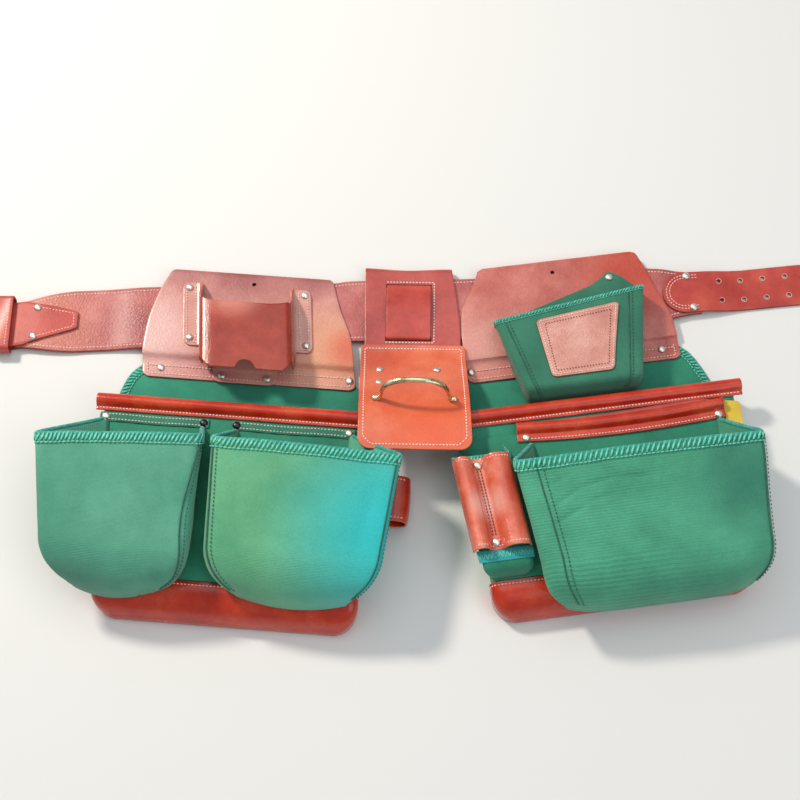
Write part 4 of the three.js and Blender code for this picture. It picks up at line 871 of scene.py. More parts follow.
LEFT_MAIN_ROW = (1, (-0.95, 116 / 355, 1.02, 116 / 355),
                 (-1.03, 129 / 355, 1.06, 129 / 355), (-0.86, -0.84, 1.08, 1.06))
left_main = bag_form(LEFT_HALF, LEFT_DROP, LEFT_MAIN_ROW, depth=MAIN_DEPTH, edge=12, roll=30, corner=22,
                     floor=BAND_FLOOR)
body_green = fabric("green_foam_nylon", "#1b7a5f", "#2f9878")
form = bag_sheet(left_main, on_left, FABRIC)
node_piece("left_main_bag", form, body_green, "green_fabric", wall=FABRIC, edge=0)

# Boots. Each large bag's foot is cased in glossy vegetable-tanned leather, sewn round its top edge, so that
# it can be set down on rough ground.
glossy_leather = leather("oiled_orange_leather", [(0.28, "#ab2009"), (0.5, "#c33214"), (0.78, "#db5730")],
                         0.24, 1.4, 0.16, coat=0.45)
bright_edge = leather("orange_cut_edge", [(0.3, "#b4563c"), (0.7, "#e6947a")], 0.55, 1.0, 0.12, coat=0)


def boot_sheet(bag, move, tall, out=2.0):
    """The boot's wall, from its sewn edge round the foot, and down to the floor at the sides and below."""
    cut = bag["bottom"] + tall

    def place(u, v):
        skirt = min(1, max(0, (u - 0.02) / 0.96))
        w = eased_ends(min(v / 0.88, 1), 0.3)
        roll_top = bag["bottom"] + bag["roll"]
        start = 1 - (cut - roll_top) / (bag["left"]["mouth"][1] - roll_top)
        down = mix(start, 2, w)
        point = bag_point(bag, out, skirt, down)
        if u < 0.02 or u > 0.98:
            point.z = mix(1.25, point.z, min(u, 1 - u) / 0.02)
        if v > 0.88:
            point.z = mix(point.z, 1.25, (v - 0.88) / 0.12)
        return move(point)
    return bent_grid(110, 30, place, size=(340, 70))


def boot_stitches(form, bag, move, tall, inset=3.5, out=3.4):
    roll_top = bag["bottom"] + bag["roll"]
    y = bag["bottom"] + tall - inset
    down = 1 - (y - roll_top) / (bag["left"]["mouth"][1] - roll_top)
    stitched(form, [move(bag_point(bag, out, i / 90, down)) for i in range(91)])


def boot(side, bag, move, half, low_rows):
    """A boot with the row of thread round its top, and its leaf under the bag."""
    node_piece(side + "_boot", boot_sheet(bag, move, BOOT_TALL), glossy_leather, "glossy_leather",
               wall=LEATHER, edge=0.7, rim=bright_edge)
    form = bmesh.new()
    boot_stitches(form, bag, move, BOOT_TALL)
    finished(side + "_boot_stitching", form, pale_thread, "glossy_leather")
    form = outline_sheet([(x * half, y, 2) for x, y in low_rows], move, LEATHER / 2)
    finished(side + "_boot_leaf", form, glossy_leather, "glossy_leather", wall=LEATHER, edge=0.5)


boot("left", left_main, on_left, LEFT_HALF,
     [(-0.84, -325), (-0.8, -343), (-0.7, -353), (0.92, -353), (1.02, -343), (1.06, -325)])

# Left main rim. A strip of the glossy leather folded over the large bag's mouth and stuffed to a soft roll,
# with a flat flange below it that is sewn through with pale thread.


def mouth_line(bag, move, overhang, out=0.0):
    """The edge of a bag's mouth across its front, as a function of the share of its width."""
    level = bag_level(bag, out, 0)

    def at(share):
        u = mix(-overhang, 1 + overhang, share)
        point = bag_front(bag, level, min(max(u, 0), 1))
        point.x = mix(level["left"]["front"], level["right"]["front"], u)
        return move(point)
    return at


def rolled_rim(line, profile, swell):
    """A leather rim: its profile (past the edge, out from it) pushed along the edge, fuller or flatter as
    swell(u) says."""
    bend, length = line_through([(a, b, 0) for a, b in profile])

    def place(u, v):
        along = (line(min(u + 0.01, 1)) - line(max(u - 0.01, 0))).normalized()
        out = Vector((0, 0, 1))
        past = out.cross(along).normalized()
        a, b, _ = bend(v)
        full, wide = swell(u)
        base = profile[0][1]
        rise = base + (b - base) * full if b > base else b
        return line(u) + past * (a * wide if a > 0 else a) + out * rise
    return bent_grid(110, 30, place, size=(280, length))


MAIN_RIM = [(-11, 1.5), (-8.5, 1.5), (-6.2, 1.7), (-5.2, 3.4), (-2.9, 6.6), (1.0, 8.1), (4.6, 6.6),
            (6.8, 2.6), (6.9, -1.6), (5.6, -4.5), (0, -4.6), (-7.7, -4.5)]
left_mouth = mouth_line(left_main, on_left, 0.008)


def left_swell(u):
    return 0.9 + 0.16 * math.sin(3.1 * u + 0.5) + 0.05 * math.sin(17 * u), 1 + 0.05 * math.sin(8 * u + 1)


form = rolled_rim(left_mouth, MAIN_RIM, left_swell)
node_piece("left_main_rim", form, glossy_leather, "glossy_leather", wall=2.4, edge=0.6, rim=bright_edge)


def flange_stitches(form, line, back, out, low=0.01, high=0.99):
    """A row of stitches along a rim's flange, back from the edge by a distance."""
    def at(u):
        along = (line(min(u + 0.01, 1)) - line(max(u - 0.01, 0))).normalized()
        return line(u) - Vector((0, 0, 1)).cross(along).normalized() * back + Vector((0, 0, out))
    stitched(form, [at(mix(low, high, i / 80)) for i in range(81)], pitch=3.6, radius=0.75)


form = bmesh.new()
flange_stitches(form, left_mouth, 8.2, 2.8)
finished("left_rim_stitching", form, pale_thread, "glossy_leather")

# Left pouch panel. A flat sheet of the green nylon on the front of the large bag that the two pouches are
# sewn to, with two folded hems across its top, each held by two rows of pale thread.
LEFT_PANEL_TOP = -LEFT_MOUTH - 11 - 2.5
corners = [(-1.01, LEFT_PANEL_TOP), (1.04, LEFT_PANEL_TOP), (1.05, -LEFT_DROP + BOOT_TALL + 1),
           (-0.86, -LEFT_DROP + BOOT_TALL + 1)]
form = outline_sheet([(x * LEFT_HALF, y, 4) for x, y in corners], on_left, PANEL_FLOOR + FABRIC / 2)
node_piece("left_pouch_panel", form, body_green, "green_fabric", wall=FABRIC, edge=0.9)

hem_green = fabric("green_hem", "#23735c", "#3d9377", weave=1.0)
threads = bmesh.new()
for n, (low, high) in enumerate(((-1.0, -0.16), (0.01, 0.96))):
    def hem_place(u, v, low=low, high=high):
        x = mix(low, high, u) * LEFT_HALF
        y = LEFT_PANEL_TOP - 0.5 - 10.5 * v + 0.4 * math.sin(u * 9 + n)
        roll = 0.9 * math.sin(math.pi * v) ** 0.5 + 0.25 * math.sin(u * 40)
        return on_left((x, y, PANEL_FLOOR + FABRIC + 0.6 + roll))
    form = bent_grid(50, 8, hem_place, size=(120, 11))
    finished(f"left_hem_{n + 1}", form, hem_green, "green_fabric", wall=1.2, edge=0.4)
    for v in (0.22, 0.78):
        stitched(threads, [hem_place(mix(0.01, 0.99, i / 30), v) + Vector((0, 0, 0.7)) for i in range(31)],
                 pitch=3.6, radius=0.62)
finished("left_hem_stitching", threads, pale_thread, "green_fabric")


def bag_frame(bag, move, out=-1.5):
    """The wall's own directions at the mouth: the edge itself, outwards, and up past the edge."""
    def at(u, down=0.0):
        return move(bag_point(bag, out, min(max(u, 0), 1), down))

    def up(u):
        return (at(u) - at(u, 0.08)).normalized()

    def outward(u):
        along = (at(min(u + 0.01, 1)) - at(max(u - 0.01, 0))).normalized()
        return along.cross(up(u)).normalized()
    return at, outward, up


def bound_mouth(name, bag, move, out=-1.5, **sizes):
    """The whipped binding round the edge of a pouch's mouth."""
    cords, loops = bmesh.new(), bmesh.new()
    whipped(cords, loops, *bag_frame(bag, move, out), **sizes)
    finished(name + "_cord", cords, teal_cord, "green_fabric")
    finished(name + "_whipping", loops, teal_loops, "green_fabric")


def seam(name, bag, move, across, low, high, colour, proud=0.3):
    """A sewn seam down a bag: a thin welt and the dark stitches beside it."""
    form = bmesh.new()
    levels = [mix(low, high, i / 40) for i in range(41)]
    bend, _ = line_through([move(bag_point(bag, proud, across(t), t)) for t in levels])
    joined(form, tube(bend, 0.9, sides=6, steps=60))
    beside = [move(bag_point(bag, proud + 0.3, across(t) + 0.016, t)) for t in levels]
    stitched(form, beside, pitch=4.2, radius=0.6)
    finished(name, form, colour, "green_fabric")


def foot_sheet(name, bag, move, material):
    """The sheet across the back of a pouch's foot, which closes it where it hangs past the bag behind."""
    levels = [(bag_level(bag, -FABRIC / 2, 1 + i / 8), 1 + i / 8) for i in range(9)]
    sides = [[(level[side]["back"], level[side]["back_y"] + foot_lift(bag, 1, down), 0)
              for level, down in levels] for side in ("left", "right")]
    (x0, y0, _), (x1, y1, _) = sides[0][-1], sides[1][-1]
    middle = [(mix(x0, x1, i / 8), mix(y0, y1, i / 8) - foot_lift(bag, 1, 2) + foot_lift(bag, i / 4 - 1, 2),
               0)
              for i in range(1, 8)]
    left, right = sides[0], middle + sides[1][::-1]
    form = outline_sheet(left + right, move, bag["floor"] + THIN_FABRIC / 2)
    finished(name, form, material, "green_fabric", wall=THIN_FABRIC, edge=0.3)


def soft_shape(seed, puff=2.0, creases=()):
    """Hand-made unevenness: slow swells of the padded cloth and a few drawn creases.

    Each crease is a line (x0, y0, x1, y1), a depth and a width, in the bag's own frame."""
    def shape(point, u):
        away = min(1, max(0, (point.z - 42) / 30))
        swell = noise.noise(Vector((point.x * 0.017 + seed, point.y * 0.02, seed))) * puff
        swell += noise.noise(Vector((point.x * 0.05 + seed, point.y * 0.045, seed + 4))) * puff * 0.35
        for x0, y0, x1, y1, deep, wide in creases:
            a, b, p = Vector((x0, y0)), Vector((x1, y1)), Vector((point.x, point.y))
            t = min(1, max(0, (p - a).dot(b - a) / (b - a).length_squared))
            near = (p - a.lerp(b, t)).length / wide
            fade = math.sin(math.pi * min(1, max(0.08, t))) * (1 if t < 1 else 0.1)
            swell -= deep * math.exp(-near * near * 2) * fade
        point = point.copy()
        point.z += swell * away
        if u < GUSSET or u > 1 - GUSSET:
            point.x += swell * 0.8 * away
        return point
    return shape


# Left pouches. Two stiff padded pouches with a gusset on each side, sewn to the panel side by side; their
# mouths gape and are bound with teal thread whipped over a cord, with a chain of thread below.
POUCH_SIZES = {"depth": 50, "edge": 14, "roll": 45, "corner": 44, "crown": 5, "floor": POUCH_FLOOR,
               "slump": 0.95, "taper": 0.95, "bow": 2}
OUTER_ROW = (0.972, (-0.95, 0.42, -0.2, 0.43),
             (-1.43, 0.54, -0.13, 0.507), (-1.27, -0.8, -0.12, -0.18))
INNER_ROW = (0.966, (0.05, 0.43, 0.93, 0.42),
             (-0.105, 0.51, 1.39, 0.525), (-0.05, 0.035, 1.31, 0.98))
outer_pouch = bag_form(LEFT_HALF, LEFT_DROP, OUTER_ROW, **POUCH_SIZES,
                       shape=soft_shape(2.0, 2.4, [(-60, -205, -35, -300, 1.6, 9),
                                                   (-170, -215, -150, -320, 1.2, 12)]))
inner_pouch = bag_form(LEFT_HALF, LEFT_DROP, INNER_ROW, **POUCH_SIZES,
                       shape=soft_shape(5.0, 2.2, [(20, -200, 30, -290, 1.4, 9),
                                                   (165, -205, 150, -300, 1.5, 10)]))
# Darker towards the outer pouch's lower left: painted shade where its foot rolls away from the light.
outer_green = fabric("green_foam_nylon_outer_pouch", "#43957b", "#5cab8f",
                     tints=[((-370, -330, 60), 90, "#2f7d68", 0.6)])
inner_green = fabric("green_foam_nylon_inner_pouch", "#52a277", "#6bb98a",
                     tints=[((-22, -285, 60), 150, "#1fc3c6", 1.0),
                            ((-170, -200, 60), 60, "#3f9a78", 0.5)])
dark_seam = thread("dark_green_seam", ("#0f4a3c", "#1d6653"), rough=0.7)


def padded_pouch(name, bag, move, material, low, seams, **grid):
    """A padded pouch with the sheet in its foot, its bound mouth and its seams down to a level."""
    node_piece(name + "_pouch", bag_sheet(bag, move, FABRIC, **grid), material, "green_fabric", wall=FABRIC,
               edge=0)
    foot_sheet(name + "_foot", bag, move, material)
    bound_mouth(name + "_mouth", bag, move, tall=10.5, pitch=5.2, width=1.35, core=2.7)
    for end, across in seams.items():
        seam(f"{name}_seam_{end}", bag, move, across, 0.02, low, dark_seam)


padded_pouch("left_outer", outer_pouch, on_left, outer_green, 1.75,
             {"inner": lambda t: 1 - GUSSET - 0.02 - 0.045 * math.sin(math.pi * min(1, t / 1.5)),
              "edge": lambda t: GUSSET + 0.01}, columns=110, straight=40, roll=20)
padded_pouch("left_inner", inner_pouch, on_left, inner_green, 1.75,
             {"edge": lambda t: GUSSET + 0.05, "inner": lambda t: 1 - GUSSET - CORNER * 0.9},
             columns=110, straight=40, roll=20)

# Left yoke. One pebbled hide folded over the belt so that the bag slides along it, its front leaf sewn to the bag
# in a band below the belt with two rows of thread; painted glare on its front leaf, darker along its fold and burnt
# orange at a corner.
YOKE_HALF = 120.5
YOKE_BOTTOM = BAND_START - 23 - 4


def folded(top, thick):
    """A hide folded over the belt's upper edge, up its front and down its back, as (y, z)."""
    front, back = FRONT_LEAF + thick / 2, thick / 2
    fold = (front - back) / 2
    crest = top - thick / 2 - fold * 0.5
    return [(crest - 8, front), (crest, front), (crest + fold * 0.35, front - fold * 0.35),
            (crest + fold * 0.5, back + fold), (crest + fold * 0.35, back + fold * 0.35), (crest, back),
            (crest - 3, back), (crest - 9, back)]


def yoke_edges(rows, top, y):
    """Where a yoke's sides come at a height, from rows of (share down from the top, left, right)."""
    down = (top + 2 - y) / (top + 2 - YOKE_BOTTOM)
    return [curve([(row[0], row[side]) for row in rows], down) * YOKE_HALF for side in (1, 2)]


def yoke_sheet(rows, top, move):
    """The yoke's hide from its lower edge up the front, over the belt and down the back."""
    front, low = FRONT_LEAF + LEATHER / 2, BAND_FLOOR + LEATHER / 2
    profile = [(YOKE_BOTTOM, low), (BAND_START - 7, low), (BAND_START - 3, low + 1.6),
               (BAND_START, front - 0.4), (BAND_START + 5, front), *folded(top, LEATHER),
               (BAND_START + GAP, LEATHER / 2)]
    bend, length = line_through([(y, z, 0) for y, z in profile])

    def place(u, v):
        y, z, _ = bend(v)
        left, right = yoke_edges(rows, top, y)
        tuck = rounding(y - YOKE_BOTTOM, 7)
        if z > BELT_FLOOR:
            tuck = max(tuck, rounding(top - 2 - y, 7) * 0.8)
        x = mix(left + tuck, right - tuck, u)
        return move((x, y, z + noise.noise(Vector((x * 0.02, y * 0.03, top))) * 0.35))
    return bent_grid(70, 90, place, size=(241, length))


# Pale spots on the front leaf are painted glare; dark spots along the fold over the belt and orange ones at the
# inner lower corner tint the hide there.
yoke_leather = leather("yoke_hide_with_painted_glare", [(0.28, "#b16e68"), (0.5, "#c3827b"), (0.75, "#d49a90")], 0.38,
                       2.2, 0.3, coat=0.3, tone_and_painted_light=[((-190, 60, 8), 62, "#8e4549", 0.9),
                                                 ((-262, 66, 8), 52, "#97515a", 0.8),
                             ((-118, 54, 8), 56, "#93474a", 0.8), ((-292, -30, 10), 75, "#e6bbb4", 0.85),
                             ((-95, -55, 10), 80, "#e0a07c", 0.85), ((-72, -52, 10), 38, "#d2573a", 0.75),
                                                 ((-165, -88, 5), 60, "#dda08c", 0.7)])
LEFT_YOKE = [(0, -0.79, 0.76), (0.25, -0.88, 0.83), (0.57, -0.945, 0.98), (0.75, -0.95, 1.02),
             (1, -0.925, 1.06)]
LEFT_TOP = 50.5
form = yoke_sheet(LEFT_YOKE, LEFT_TOP, on_left)
left_yoke = node_piece("left_yoke", form, yoke_leather, "grained_leather", wall=LEATHER, edge=0.7,
                       rim=cut_edge)


def hang_hole(yoke, spot):
    """The round hole near a yoke's top edge."""
    form = bmesh.new()
    bmesh.ops.create_cone(form, segments=20, radius1=2.5 * MM, radius2=2.5 * MM, depth=9 * MM, cap_ends=True,
                          matrix=Matrix.Translation(spot * MM))
    cut_away(yoke, form)


def yoke_stitches(name, rows, top, move):
    """Two rows of thread across the yoke's lower band, and one up each side of it."""
    over = BAND_FLOOR + LEATHER + 0.35

    def inside(y, share):
        left, right = yoke_edges(rows, top, y)
        return move((mix(left + 6, right - 6, share), y, over))
    across = [[inside(y, i / 60) for i in range(61)] for y in (YOKE_BOTTOM + 4, YOKE_BOTTOM + 14)]
    upward = [[inside(mix(YOKE_BOTTOM + 4, BAND_START - 9, i / 20), side) for i in range(21)]
              for side in (0, 1)]
    sewn(name, across + upward, pale_thread, "grained_leather")


hang_hole(left_yoke, on_left((0.01 * YOKE_HALF, LEFT_TOP - 15, FRONT_LEAF + LEATHER / 2)))
yoke_stitches("left_yoke_stitching", LEFT_YOKE, LEFT_TOP, on_left)

# Left holster. A glossy hide bent to a box open at both ends, sewn and riveted to the yoke by its flanges;
# its mouth dips between two tall corners and its foot has a half-round notch.
HOLSTER_HALF = 51
HOLSTER_OUT = 73
HOLSTER_LOW = YOKE_TOP + GAP + LEATHER / 2
HOLSTER_HIGH = HOLSTER_LOW + 32


def holster_side(x, z, which):
    """Where the hide ends above or below a place on the holster's profile."""
    x = abs(x)
    if which == "top":
        if z < HOLSTER_HIGH - 4 and x <= HOLSTER_HALF + 0.6:
            return mix(31, 1, max(0, (z - HOLSTER_LOW) / (HOLSTER_HIGH - 4 - HOLSTER_LOW)) ** 1.5)
        if x > HOLSTER_HALF:
            return 32 - rounding(HOLSTER_OUT - x, 8)
        return curve([(0, -4), (HOLSTER_HALF - 26, -4), (HOLSTER_HALF - 10, -2), (HOLSTER_HALF, 1)], x)
    if x > HOLSTER_HALF + 3:
        return -46 + rounding(HOLSTER_OUT - x, 8)
    if x > HOLSTER_HALF - 0.5:
        return mix(-69, -48, min(1, max(0, (x - HOLSTER_HALF) / 3)))
    if x < 11:
        return -83 + math.sqrt(121 - x * x) - 1
    return curve([(11, -83), (HOLSTER_HALF - 13, -83), (HOLSTER_HALF - 4, -76), (HOLSTER_HALF, -69)], x)


half_profile = [(0, HOLSTER_HIGH + 1.2), (11, HOLSTER_HIGH + 1.1), (25, HOLSTER_HIGH + 0.8),
                (HOLSTER_HALF - 9, HOLSTER_HIGH), (HOLSTER_HALF - 3, HOLSTER_HIGH - 1.6),
                (HOLSTER_HALF - 0.2, HOLSTER_HIGH - 7), (HOLSTER_HALF, HOLSTER_HIGH - 14),
                (HOLSTER_HALF, HOLSTER_LOW + 5), (HOLSTER_HALF + 1.6, HOLSTER_LOW + 1.2),
                (HOLSTER_HALF + 5, HOLSTER_LOW), (HOLSTER_OUT, HOLSTER_LOW)]
holster_bend, holster_length = line_through([(-x, z, 0) for x, z in reversed(half_profile)] +
                                            [(x, z, 0) for x, z in half_profile[1:]])


def holster_at(x, y, z):
    """A place on the holster, which leans to the left as it goes up."""
    return on_left((x - 2 - 0.13 * y, y, z))


def holster_point(u, v):
    x, z, _ = holster_bend(u)
    return holster_at(x, mix(holster_side(x, z, "top"), holster_side(x, z, "bottom"), v), z)


# Painted glare: the flanges, cut from one hide with the front, are painted paler, and the pale spot high on the
# front is a painted highlight.
flange_glare = [(holster_at(side * 63, y, HOLSTER_LOW), 30, "#dca79c", 0.85)
               for side in (-1, 1) for y in (22, -8, -36)]
holster_leather = leather("glossy_holster_hide", [(0.28, "#8a2210"), (0.5, "#a0321c"), (0.78, "#b64a32")],
                          0.22, 1.6, 0.18, coat=0.6,
                          tone_and_painted_light=[((-198, 8, 45), 46, "#dc9282", 0.85)] + flange_glare)
form = bent_grid(150, 40, holster_point, size=(holster_length, 100))
node_piece("left_holster", form, holster_leather, "glossy_leather", wall=LEATHER, edge=0.6, rim=bright_edge)

thread_level = HOLSTER_LOW + LEATHER / 2 + 0.3
rows = []
for side in (-1, 1):
    rows += [[holster_at(side * (HOLSTER_OUT - inset), y, thread_level) for y in range(28, -45, -3)]
             for inset in (4, 14)]
    rows.append([holster_at(side * (HOLSTER_OUT - inset), -42, thread_level) for inset in (14, 9, 4)])
sewn("left_holster_stitching", rows, pale_thread, "glossy_leather", pitch=3.4)

# Holster floor. The strap that stops a tool falling through: two rivets in the yoke's band, its far end sewn
# inside the holster's front.
floor_inside = YOKE_TOP + GAP + LEATHER / 2 + 32 - LEATHER - GAP
floor_foot = BAND_TOP + GAP + LEATHER / 2
floor_bend, floor_length = line_through([(YOKE_BOTTOM - 2, floor_foot, 0), (BAND_START - 14, floor_foot, 0),
                                         (BAND_START - 10, floor_foot + 4, 0),
                                         (BAND_START - 5, floor_inside - 5, 0),
                                         (BAND_START - 2, floor_inside, 0),
                                         (BAND_START + 12, floor_inside, 0)])


def floor_place(u, v):
    y, z, _ = floor_bend(v)
    half = 36.5 - rounding(y - YOKE_BOTTOM + 2, 9)
    return on_left((3.5 + mix(-half, half, u), y, z))


form = bent_grid(36, 40, floor_place, size=(73, floor_length))
node_piece("left_holster_floor", form, yoke_leather, "glossy_leather", wall=LEATHER, edge=0.6,
           rim=bright_edge)
floor_thread = [on_left((3.5 + x, YOKE_BOTTOM + 2, floor_foot + LEATHER / 2 + 0.3)) for x in range(-28, 29, 4)]
sewn("left_floor_stitching", [floor_thread], pale_thread, "glossy_leather")

# Left tool loop. A short strap of the glossy leather bent into a tunnel on the large bag's inner side.
level = bag_level(left_main, 0, 0.3)
loop_side = mix(level["right"]["back"], level["right"]["front"], 0.7) + GAP + LEATHER / 2
loop_middle = BAND_FLOOR + MAIN_DEPTH * 0.5
tunnel = [(0, 12), (18, 12), (34.5, 12), (43, 9), (46, 3)]
loop_bend, loop_length = line_through([(loop_side + x, loop_middle + z, 0) for x, z in tunnel]
                                      + [(loop_side + x, loop_middle - z, 0) for x, z in reversed(tunnel)])


def loop_place(u, v):
    x, z, _ = loop_bend(u)
    y = -LEFT_DROP * 0.6 + 25 - 50 * v
    return on_left((x + 1.5 * math.sin(v * 3), y, z))


form = bent_grid(60, 24, loop_place, size=(loop_length, 50))
node_piece("left_tool_loop", form, glossy_leather, "glossy_leather", wall=LEATHER, edge=0.6,
           rim=bright_edge)
over = Vector((0, 0, LEATHER / 2 + 0.2))
rows = [[loop_place(mix(0.02, 0.4, i / 12), v) + over for i in range(13)] for v in (0.08, 0.92)]
sewn("left_loop_stitching", rows, pale_thread, "glossy_leather")

# Hammer hanger. A strap of heavy maroon harness leather that folds over the belt between the bags, with two
# slots across it and a tongue below that the plate is riveted to.
on_hammer = laid(-1, 0, 0)
PLATE_FLOOR = POUCH_FLOOR + 20 + 2 * GAP
PLATE_LINE = [(-208, 1), (-183.3, 1), (-155, 0.967), (-124.7, 0.778), (-94.5, 0.386), (-68, 0.059),
              (-54.8, 0), (-38, 0)]
HANGER_WIDE = [(-112, -0.96, 1.0), (-44.5, -1.02, 1.03), (48, -1.05, 0.84), (53, -1.05, 0.82)]


def plate_z(y):
    return HARNESS / 2 + mix(FRONT_LEAF + HARNESS + 3 * GAP, PLATE_FLOOR, curve(PLATE_LINE, y))


hanger_front = FRONT_LEAF + HARNESS / 2
tongue = [(y, plate_z(y) - (HARNESS + GAP) / math.cos(math.atan((plate_z(y + 1) - plate_z(y - 1)) / 2)))
          for y in (-112, -104, -96, -88, -80, -72, -64)]
hanger_line = [*tongue, (-54, hanger_front), (-46, hanger_front), *folded(51, HARNESS),
               (BAND_START, HARNESS / 2)]
hanger_bend, hanger_length = line_through([(y, z, 0) for y, z in hanger_line])


def hanger_place(u, v):
    y, z, _ = hanger_bend(v)
    left = curve([(a, b) for a, b, _ in HANGER_WIDE], y) * 52.5
    right = curve([(a, c) for a, _, c in HANGER_WIDE], y) * 52.5
    top = max(0, y - 44) / 9
    dip = 4.0 * top * math.sin(math.pi * u) ** 2
    return on_hammer((mix(left, right, u), y - dip, z + 0.25 * math.sin(u * 7 + y * 0.05)))


maroon = leather("maroon_harness_leather", [(0.28, "#9c3a36"), (0.5, "#b34a44"), (0.78, "#c65d54")], 0.36,
                 1.4, 0.24, coat=0.4)
form = bent_grid(48, 110, hanger_place, size=(105, hanger_length))
hanger = node_piece("hammer_hanger", form, maroon, "harness_leather", wall=HARNESS, edge=0.8, rim=cut_edge)
STRAP_LOW, STRAP_TOP, STRAP_MIDDLE = -39.5, 26.5, -5
for y in (STRAP_LOW, STRAP_TOP):
    form = bmesh.new()
    spot = on_hammer((STRAP_MIDDLE, y, FRONT_LEAF + 3.5)) * MM
    turn = Matrix.Rotation(math.radians(-1), 4, "Z")
    bmesh.ops.create_cube(form, size=1,
                          matrix=Matrix.Translation(spot) @ turn @ Matrix.Diagonal((0.052, 0.0052, 0.009, 1)))
    cut_away(hanger, form)

# Hammer belt strap. A plain strap woven out through the upper slot and back through the lower one, which
# keeps the hanger from sliding; stitched across its top, its foot and one side in white.
strap_over = FRONT_LEAF + HARNESS + 2 * GAP + LEATHER / 2
weave_bend, weave_length = line_through([(y, z, 0) for y, z in [
    (STRAP_LOW, FRONT_LEAF + LEATHER * 0.3), (STRAP_LOW + 0.5, strap_over - 0.6),
    (STRAP_LOW + 5, strap_over + 0.2), (STRAP_LOW + 16, strap_over + 1.8),
    (-6.5, strap_over + 3), (STRAP_TOP - 16, strap_over + 1.8),
    (STRAP_TOP - 5, strap_over + 0.2), (STRAP_TOP - 0.5, strap_over - 0.6),
    (STRAP_TOP, FRONT_LEAF + LEATHER * 0.3)]])


def weave_place(u, v):
    y, z, _ = weave_bend(v)
    return on_hammer((STRAP_MIDDLE + mix(-25, 25, u), y, z))


form = bent_grid(26, 60, weave_place, size=(50, weave_length))
node_piece("hammer_belt_strap", form, harness_leather, "harness_leather", wall=LEATHER, edge=0.6,
           rim=cut_edge)
white_thread = thread("white_thread", ("#e6dcd2", "#fbf6ee"))


def along_edges(corners, place, steps):
    """A row of places along each edge between two corners."""
    return [[place(mix(a[0], b[0], t / steps), mix(a[1], b[1], t / steps)) for t in range(steps + 1)]
            for a, b in zip(corners, corners[1:])]


hanger_face = FRONT_LEAF + HARNESS + 0.3
sewn("hammer_strap_stitching", along_edges([(-31, 31.5), (24, 31.5), (24, -44), (-31, -44)],
                                           lambda x, y: on_hammer((x, y, hanger_face)), 20),
     white_thread, "harness_leather", pitch=3.6, radius=0.7)

# Hammer plate. A stiff square of glossy orange leather that leans forward from the hanger over both bags,
# with rounded lower corners and a border sewn in white; its upper middle is left plain.
PLATE_HALF = 60.5


def plate_place(u, v, lift=0.0):
    y = mix(-48.5, -189, v)
    left, right = mix(-0.95, -0.93, v) * PLATE_HALF, mix(0.97, 1.07, v) * PLATE_HALF
    tuck = max(rounding(y + 189, 13), rounding(-48.5 - y, 4))
    x = mix(left + tuck, right - tuck, u)
    curl = 0.9 * (abs(2 * u - 1) ** 3) * math.sin(v * 3)
    return on_hammer((x, y, plate_z(y) + lift + curl))


plate_leather = leather("orange_plate_leather", [(0.28, "#d0583a"), (0.5, "#dc6a48"), (0.78, "#e98462")],
                        0.33, 1.5, 0.24, coat=0.45, tone_and_painted_light=[((20, -175, 60), 80, "#e65c2b", 0.7),
                                                          ((-50, -60, 18), 45, "#b9493a", 0.7)])
form = bent_grid(60, 80, lambda u, v: plate_place(u, eased_ends(v)), size=(121, 150))
node_piece("hammer_plate", form, plate_leather, "glossy_leather", wall=HARNESS, edge=0.8, rim=bright_edge)
border = [(0.04, 0.035), (0.96, 0.035), (0.955, 0.9), (0.9, 0.965), (0.1, 0.965), (0.045, 0.9), (0.04, 0.035)]
sewn("hammer_plate_stitching", along_edges(border, lambda u, v: plate_place(u, v, HARNESS / 2 + 0.35), 24),
     white_thread, "glossy_leather", pitch=3.6, radius=0.7)

# Hammer loop. One bent bar of brass-toned steel that stands off the plate to hold a hammer by its head, with
# its feet turned outwards.
loop_steel, tree, shader = new_material("brassed_steel", metallic=1.0, roughness=0.24,
                                        base_color=hex_colour("#d2bd92"))
place = add_node(tree, "ShaderNodeTexCoord").outputs["Object"]
tone = add_node(tree, "ShaderNodeTexNoise", {"Scale": 120, "Detail": 3}, {"Vector": place})
tree.links.new(ramp(tree, [(0.3, "#b59a63"), (0.5, "#d6c39b"), (0.75, "#efe7d2")], tone.outputs["Fac"]),
               shader.inputs["Base Color"])
tree.links.new(ramp(tree, [(0.3, 0.14), (0.7, 0.36)], tone.outputs["Fac"]), shader.inputs["Roughness"])
FOOT_Y = -130
plate_lean = math.atan((plate_z(FOOT_Y + 4) - plate_z(FOOT_Y - 4)) / 8)


def loop_point(x, z):
    y = -math.tan(math.radians(10)) * z
    cos, sin = math.cos(plate_lean), math.sin(plate_lean)
    return on_hammer((3 + x, FOOT_Y + y * cos - z * sin, plate_z(FOOT_Y) + 1.8 + y * sin + z * cos))


arm = [(-46, 2.2), (-42, 2.2), (-38.6, 2.8), (-36.8, 6.5), (-35.8, 13), (-34, 20), (-30, 27.5), (-23, 33),
       (-12, 36.6), (0, 37.6)]
arch_line, _ = line_through([loop_point(x, z) for x, z in arm]
                            + [loop_point(-x, z) for x, z in reversed(arm[:-1])])
form = tube(arch_line, 2.1, sides=16, steps=110, up=(0, 1, 0.2), flat=1.55)
node_piece("hammer_loop", form, loop_steel, "loop_steel")

